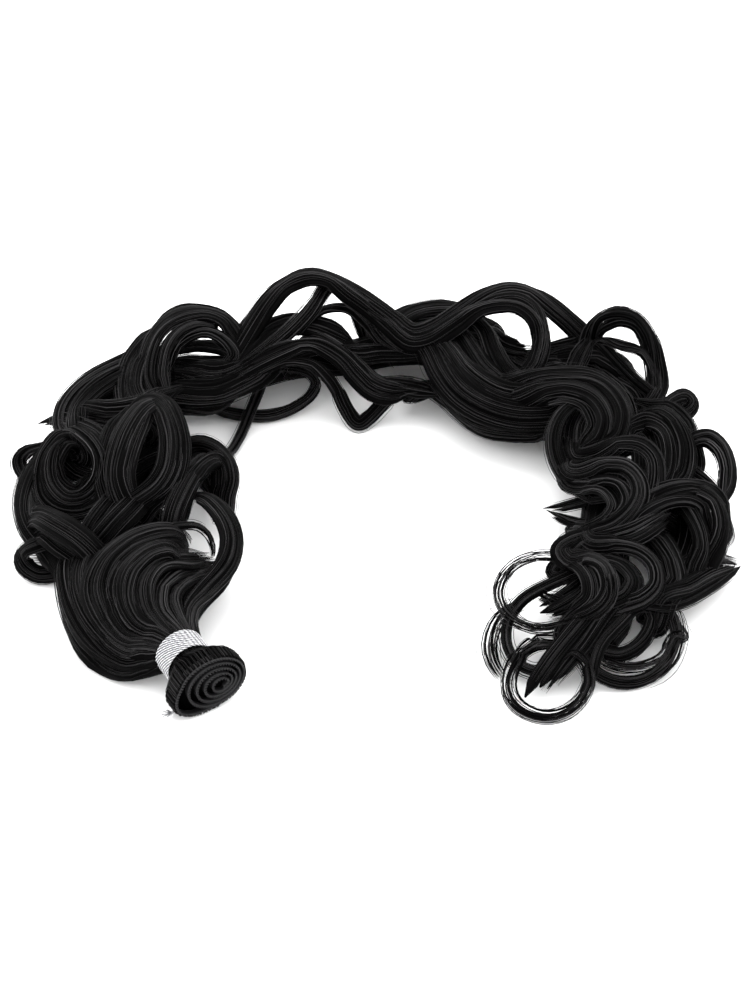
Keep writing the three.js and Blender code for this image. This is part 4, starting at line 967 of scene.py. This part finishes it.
RIGHT_LOCKS = {
    "big_curl_outer": (8, [(486, 382, 20), (506, 385, 26), (529, 379, 30), (558, 375, 33), (590, 377, 35),
        (613, 391, 35), (625, 414, 33), (620, 438, 30), (603, 455, 27)]),
    "big_curl": (8, [(496, 398, 20), (516, 399, 26), (540, 391, 31), (570, 388, 34), (595, 398, 34), (607, 420, 32),
        (601, 442, 29), (586, 457, 26)]),
    "big_curl_inner": (6, [(546, 404, 28), (568, 400, 31), (586, 408, 31), (593, 426, 29), (586, 444, 27)]),
    "big_curl_return": (6, [(597, 399, 28), (576, 404, 29), (560, 418, 28), (553, 440, 25), (558, 464, 22),
        (572, 484, 19), (592, 496, 18), (613, 498, 20)]),
    "big_curl_hollow": (9, [(586, 410, 24), (576, 430, 24), (578, 452, 23), (590, 468, 22)]),
    "next_curl_outer": (7, [(570, 440, 22), (577, 456, 26), (596, 453, 30), (619, 444, 33), (641, 445, 33),
        (655, 460, 31), (656, 484, 28), (648, 508, 25), (634, 527, 22)]),
    "next_curl": (8, [(567, 452, 19), (568, 468, 23), (580, 471, 27), (602, 465, 30), (624, 466, 31), (638, 479, 30),
        (641, 497, 28), (632, 514, 26), (614, 529, 24), (592, 538, 22), (573, 544, 20), (563, 552, 19), (572, 560, 20),
        (590, 559, 23), (605, 568, 25), (611, 586, 24), (605, 603, 21), (589, 616, 17), (568, 624, 13),
        (547, 629, 10)]),
    "next_curl_inner": (6, [(604, 480, 28), (622, 486, 29), (629, 502, 27), (620, 518, 25), (602, 530, 22)]),
    "next_curl_low": (8, [(567, 464, 17), (570, 481, 20), (587, 485, 24), (608, 492, 26), (617, 508, 25),
        (609, 523, 23), (591, 534, 21), (575, 541, 19), (567, 549, 17), (571, 557, 17), (582, 565, 20), (592, 581, 22),
        (592, 600, 20), (578, 616, 16)]),
    "next_curl_hollow": (9, [(634, 438, 24), (642, 456, 24), (640, 476, 23), (628, 492, 22)]),
    "outer_fall": (7.5, [(638, 414, 30), (659, 410, 33), (677, 424, 33), (687, 448, 30), (685, 472, 26),
        (673, 491, 23)]),
    "outer_fall_inner": (7, [(628, 430, 30), (646, 420, 32), (664, 430, 32), (672, 452, 30), (670, 474, 27),
        (660, 494, 24)]),
    "outer_fall_edge": (6, [(634, 400, 27), (652, 404, 29), (672, 408, 29), (688, 424, 27), (694, 446, 24)]),
    "fourth_loop": (4.6, [(680, 448, 24), (693, 437, 28), (710, 434, 30), (724, 446, 29), (731, 466, 25),
        (730, 486, 20), (721, 501, 16)]),
    "fourth_loop_second": (4.6, [(682, 454, 23), (693, 445, 27), (707, 443, 29), (719, 454, 28), (724, 472, 24),
        (722, 491, 19)]),
    "fourth_loop_foot": (4.5, [(674, 458, 22), (690, 469, 22), (704, 480, 20), (713, 490, 17), (716, 504, 13)]),
    "cross_wave": (8, [(616, 522, 24), (641, 502, 26), (667, 490, 27), (691, 487, 25), (710, 492, 21), (720, 504, 17),
        (721, 520, 12)]),
    "cross_wave_low": (7, [(640, 516, 25), (662, 504, 26), (684, 500, 25), (700, 506, 22), (705, 521, 17)]),
    "outer_drop": (7, [(700, 492, 24), (716, 504, 23), (722, 524, 20), (718, 546, 16), (707, 567, 12)]),
    "outer_drop_inner": (7, [(686, 506, 22), (698, 528, 20), (701, 551, 17), (693, 573, 13)]),
    "combed_band": (6, [(570, 556, 18), (583, 544, 22), (606, 538, 26), (632, 530, 28), (654, 519, 28),
        (670, 511, 27)]),
    "combed_band_low": (6, [(592, 556, 20), (606, 547, 24), (630, 541, 26), (652, 530, 26), (668, 520, 25)]),
    "inner_spike": (4.6, [(608, 500, 16), (584, 502, 14), (562, 507, 11), (543, 510, 8)]),
    "inner_spike_low": (4.4, [(606, 521, 14), (584, 524, 12), (562, 519, 9), (545, 511, 8)]),
    "outer_point": (6, [(636, 604, 16), (663, 604, 14), (690, 597, 11), (716, 582, 8), (739, 565, 6)]),
    "outer_point_middle": (6, [(660, 596, 16), (686, 586, 14), (710, 573, 11), (734, 565, 7)]),
    "outer_point_top": (5, [(688, 562, 14), (706, 562, 12), (722, 560, 10), (737, 563, 7)]),
    "lower_fill": (9, [(660, 540, 18), (672, 560, 17), (676, 582, 15), (664, 602, 13)]),
    "last_curl_outer": (7, [(580, 532, 20), (592, 543, 25), (614, 545, 27), (638, 551, 28), (654, 566, 27),
        (656, 585, 24), (643, 599, 21), (620, 609, 18), (596, 622, 14)]),
    "last_curl_hollow": (8, [(600, 560, 22), (622, 566, 24), (634, 582, 23), (626, 598, 21), (606, 610, 18)]),
    "tip_tail": (8, [(606, 600, 18), (591, 618, 16), (575, 637, 13), (558, 658, 9), (543, 679, 6), (530, 700, 3)]),
    "tip_mass": (4.6, [(640, 604, 16), (622, 620, 16), (605, 639, 13), (594, 659, 9), (590, 680, 5), (582, 699, 3)]),
    "tip_mass_inner": (5, [(616, 604, 19), (600, 624, 16), (584, 647, 12), (566, 669, 8), (549, 690, 4.5)]),
    "tip_clump": (9, [(602, 586, 15), (581, 602, 14), (561, 612, 11), (541, 618, 7)]),
    "tip_clump_upper": (7, [(598, 574, 17), (577, 589, 15), (558, 600, 12), (540, 608, 9)]),
    "chord_ring": (4.4, [(606, 556, 19), (587, 567, 17), (564, 578, 15), (542, 588, 13), (526, 597, 11),
        (514, 609, 9.5), (507, 624, 8), (506, 641, 6.5), (511, 655, 5), (522, 667, 4), (538, 671, 4), (556, 662, 6),
        (572, 646, 9)]),
    "outer_ring_band": (4.4, [(588, 656, 9), (595, 671, 6), (609, 680, 3.5), (627, 683, 2.5), (645, 679, 2.5),
        (661, 668, 3.5), (671, 652, 5), (675, 634, 7), (670, 614, 9), (658, 604, 11)]),
    "outer_ring_inner_band": (5, [(592, 640, 11), (603, 651, 9), (619, 655, 7), (635, 649, 7), (647, 636, 9),
        (651, 619, 12), (646, 602, 14)]),
}
TIP_RINGS = {  # as above: thin wisps of hair at the tip, lying in open rings
    "upper_ring": (3.6, [(610, 580, 26), (610, 594, 24), (600, 609, 20), (582, 619, 16), (560, 626, 12), (536, 629, 9),
        (516, 622, 9), (503, 609, 11.5), (498, 593, 14), (503, 577, 17), (516, 564, 19), (534, 557, 19), (553, 556, 17),
        (570, 562, 15)]),
    "upper_ring_fuzz": (7, [(538, 594, 10), (552, 600, 11), (570, 606, 12), (590, 608, 13)]),
    "side_ring_outer": (5, [(522, 602, 9), (506, 611, 8), (495, 626, 6), (490, 645, 4), (494, 664, 2.5),
        (504, 679, 1.5)]),
    "side_ring_inner": (3, [(522, 668, 4), (524, 655, 6), (537, 646, 8), (556, 645, 9)]),
    "front_ring": (4, [(534, 644, 8), (519, 657, 6), (511, 673, 5), (510, 690, 4), (517, 704, 3), (531, 713, 2),
        (548, 716, 2), (566, 711, 2.5), (581, 699, 3), (589, 683, 5), (586, 667, 8), (576, 655, 11)]),
    "outer_ring_haze": (5, [(660, 602, 11), (674, 616, 8), (678, 637, 6), (672, 657, 4), (658, 672, 3), (638, 683, 2)]),
    "outer_ring_middle": (3, [(592, 648, 9), (603, 661, 6), (622, 668, 4), (645, 666, 4), (663, 657, 5),
        (674, 640, 7)]),
}
FREE_TIPS = {  # locks that end in the open, and the share of the width that is left there
    "inner_spike": 0.6, "inner_spike_low": 0.6, "outer_point": 0.8, "outer_point_middle": 0.8, "outer_point_top": 0.8,
    "tip_tail": 0.9, "tip_mass": 0.3, "tip_mass_inner": 0.7, "tip_clump": 0.6, "next_curl": 0.25, "outer_tuft": 0.7,
    "combed_band": 0.7, "combed_band_low": 0.7, "side_ring_outer": 0.7, "side_ring_inner": 0.7, "outer_ring_haze": 0.7,
    "tip_clump_upper": 0.6, "shoulder_run_lowest": 0.2, "shoulder_arch_inner": 0.2, "falling_lock": 0.2,
    "front_wave": 0.2, "front_wave_upper": 0.2, "trough_low": 0.2, "low_loop_hollow": 0.5,
}
FAN_HELD = np.array([-9.0, -4.5, 0.0, 3.0]) * MM  # where a fan lock runs straight through the binding
FAN_ROOT = 2.2 * MM  # half width of a fan lock there
WIDTHS = (4.4, 7.5)  # locks narrower than the first are thin, wider than the second wide, in mm
ROOTED = (4 * MM, 24 * MM)  # an end nearer to the middle of a carrying lock needs no leading in, one farther hangs free
DIVE = (7 * MM, 6 * MM)  # an end runs on this far and sinks this deep before it turns into the tress
DIVE_FLOOR = 5 * MM  # but no lower than this over the table
POINT, POINT_LEFT = 6 * MM, 0.15  # a ribbon narrows over this length, to this share of its width
LAP, LAP_THICK = 0.55, 0.8  # half width and half depth of a lock's smaller ribbon, as shares of the lock's
WAVER, WAVER_TURN = 0.14, 70  # the smaller ribbons waver by this share of the half width, at these radians a metre
SPLITS = {  # place across and rise of each smaller ribbon, as shares of the lock's half width and depth
    "fan": [(-0.56, -0.1), (-0.02, 0.2), (0.54, -0.05)], "wide": [(-0.54, -0.12), (0.05, 0.22), (0.56, -0.04)],
    "middling": [(-0.38, -0.08), (0.4, 0.1)], "thin": [],
}


def lock_thick(width):
    """How thick a lock of this width in mm is."""
    return (1.7 + 0.2 * width) * MM


def rooted(points, free):
    """A lock's path with its ends led on and down into the tress. A free tip is left as it is."""
    for end in (0,) if free else (0, -1):
        tip, next_to = (points[0], points[1]) if end == 0 else (points[-1], points[-2])
        dive = tip + DIVE[0] * (tip - next_to) / np.linalg.norm(tip - next_to)
        dive[2] = max(tip[2] - DIVE[1], DIVE_FLOOR)
        carrier = carriers[np.linalg.norm(carriers - dive, axis=1).argmin()]
        if ROOTED[0] < np.linalg.norm(carrier - tip) < ROOTED[1]:
            points = np.vstack([carrier, dive, points] if end == 0 else [points, dive, carrier])
    return points


def split(lock, shares):
    """The smaller ribbons that a lock is made of, side by side and lapped, each with a waver and a length of its own."""
    for number, (share, rise) in enumerate(shares):
        waver = WAVER * np.sin(lock["along"] * WAVER_TURN + 2.1 * number + 40 * lock["points"][0, 0] / MM)
        aside = (lock["half_width"] * (share + waver))[:, None] * lock["across"]
        point = POINT_LEFT + (1 - POINT_LEFT) * smooth((lock["along"][-1 - number] - lock["along"]) / POINT)
        ribbon = dict(
            lock, points=lock["points"] + aside + (lock["half_thick"] * rise)[:, None] * lock["proud"],
            half_width=lock["half_width"] * LAP * point, half_thick=lock["half_thick"] * LAP_THICK * point,
        )
        yield {key: values[:len(values) - number] for key, values in ribbon.items()}  # none ends where the last did


for width, (aside, up), path in FAN.values():
    path = np.vstack([place(aside * MM, up * MM, FAN_HELD), seen_at(path)])
    locks["fan"].append(lock_guide_line(path, width * MM, lock_thick(width), root=FAN_ROOT, ends=(1.0, 0.4)))
for drawn in (LEFT_LOCKS, TOP_LOCKS, RIGHT_LOCKS, TIP_RINGS):
    for name, (width, path) in drawn.items():
        ring = drawn is TIP_RINGS
        kind = "thin" if ring or width < WIDTHS[0] else "wide" if width > WIDTHS[1] else "middling"
        locks[kind].append(lock_guide_line(
            rooted(seen_at(path), name in FREE_TIPS), width * MM, lock_thick(width),
            loose=LOOSE_RING if ring else LOOSE, ends=(0.35, FREE_TIPS.get(name, 0.35)),
        ))

RIBBONS = dict(Ridges=900.0, Height=0.25 * MM, Waves=9.0, Floor=0.3 * MM)
WISPS = dict(Across=1.1, Deep=0.8, Inside=0.6, Wander=1.3 * MM, Waves=18.0, Flat=0.6, Sides=4, RootTrim=0.05,
             TipTrim=0.1, Floor=0.7 * MM)
STRANDS = dict(Across=1.04, Deep=1.0, Inside=0.1, Wander=0.9 * MM, Waves=20.0, Radius=0.16 * MM, Flat=1.0, Sides=3,
               RootTrim=0.08, TipTrim=0.1, Floor=0.4 * MM)
FLYAWAYS = dict(Across=1.3, Deep=1.6, Inside=0.5, Wander=3.0 * MM, Waves=14.0, Radius=0.1 * MM, Flat=1.0, Sides=3,
                RootTrim=0.3, TipTrim=0.4, Floor=0.3 * MM)
LOCK_FILLS = {  # sides of the ribbons' section, wisps and the half width of each, single strands, flyaways
    "under": (12, 0, 0, 10, 0),
    "fan": (14, 2, 0.35 * MM, 48, 5),
    "wide": (10, 2, 0.32 * MM, 23, 5),
    "middling": (10, 2, 0.3 * MM, 16, 5),
    "thin": (0, 5, 0.36 * MM, 16, 8),
}
LOCKS_A_PIECE = 28  # so that no piece has too many faces
for kind, (sides, wisps, wisp_radius, strands, flyaways) in LOCK_FILLS.items():
    for part, first in enumerate(range(0, len(locks[kind]), LOCKS_A_PIECE)):
        some = locks[kind][first:first + LOCKS_A_PIECE]
        bodies = some if kind == "under" else [ribbon for lock in some for ribbon in split(lock, SPLITS[kind])]
        # Ribbons and wisps take the hair painted in shade, strands and flyaways the strands painted with sheen.
        for layer, tree, finish, amount, lines, recipe in (
            ("ribbons", ribbon_tree, hair_painted_shade, sides, bodies, dict(RIBBONS, Sides=sides, Seed=3)),
            ("wisps", strand_tree, hair_painted_shade, wisps, some, dict(WISPS, Count=wisps, Radius=wisp_radius, Seed=11)),
            ("strands", strand_tree, strands_painted_sheen, strands, some, dict(STRANDS, Count=strands, Seed=23)),
            ("flyaways", strand_tree, strands_painted_sheen, flyaways, some, dict(FLYAWAYS, Count=flyaways, Seed=37)),
        ):
            if not amount:
                continue
            recipe["Seed"] += 100 * part
            lock_guide = guide("lock_paths", lines)
            hair = baked(f"{kind}_lock_{layer}_{part + 1}", lock_guide, tree, Finish=finish, **recipe)
            bpy.data.objects.remove(lock_guide)
            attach(hair, "root")
            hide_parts("hair_tress")

# The table: a plain white sheet that the bundle lies on, in a white room, with one broad soft light overhead. It is
# no part of the bundle.
TABLE_HALF, TABLE_TOP = 3, -0.0003  # metres; a hair's breadth under the bundle
floor_mesh = bpy.data.meshes.new("table")
floor_mesh.from_pydata(
    [(x * TABLE_HALF, y * TABLE_HALF, TABLE_TOP) for x, y in ((-1, -1), (1, -1), (1, 1), (-1, 1))], [], [(0, 1, 2, 3)])
# Matt white paper: no gloss, and no grain that shows at this distance.
white_paper, _, paper_shader = new_material("white_paper")
paper_shader.inputs["Base Color"].default_value = hex_linear("#f6f6f6")
paper_shader.inputs["Roughness"].default_value = 0.8
floor_mesh.materials.append(white_paper)
table = bpy.data.objects.new("table", floor_mesh)
bpy.context.scene.collection.objects.link(table)

world = bpy.data.worlds.new("studio")
world.use_nodes = True
world.node_tree.nodes["Background"].inputs["Color"].default_value = (1, 1, 1, 1)
world.node_tree.nodes["Background"].inputs["Strength"].default_value = 2.5
bpy.context.scene.world = world
bpy.context.scene.view_settings.view_transform = "Standard"

LIGHT_SPOT, LIGHT_SIZE, LIGHT_POWER = np.array((-0.25, 0.35, 1.1)), 0.9, 4.0  # metres and watts
lamp = bpy.data.lights.new("overhead", "AREA")
lamp.shape, lamp.size, lamp.energy = "DISK", LIGHT_SIZE, LIGHT_POWER
overhead = bpy.data.objects.new("overhead", lamp)
overhead.location = LIGHT_SPOT
x, y, z = -LIGHT_SPOT  # it points at the middle of the table
overhead.rotation_euler = (math.atan2(math.hypot(x, y), -z), 0, math.atan2(y, x) - math.pi / 2)
bpy.context.scene.collection.objects.link(overhead)
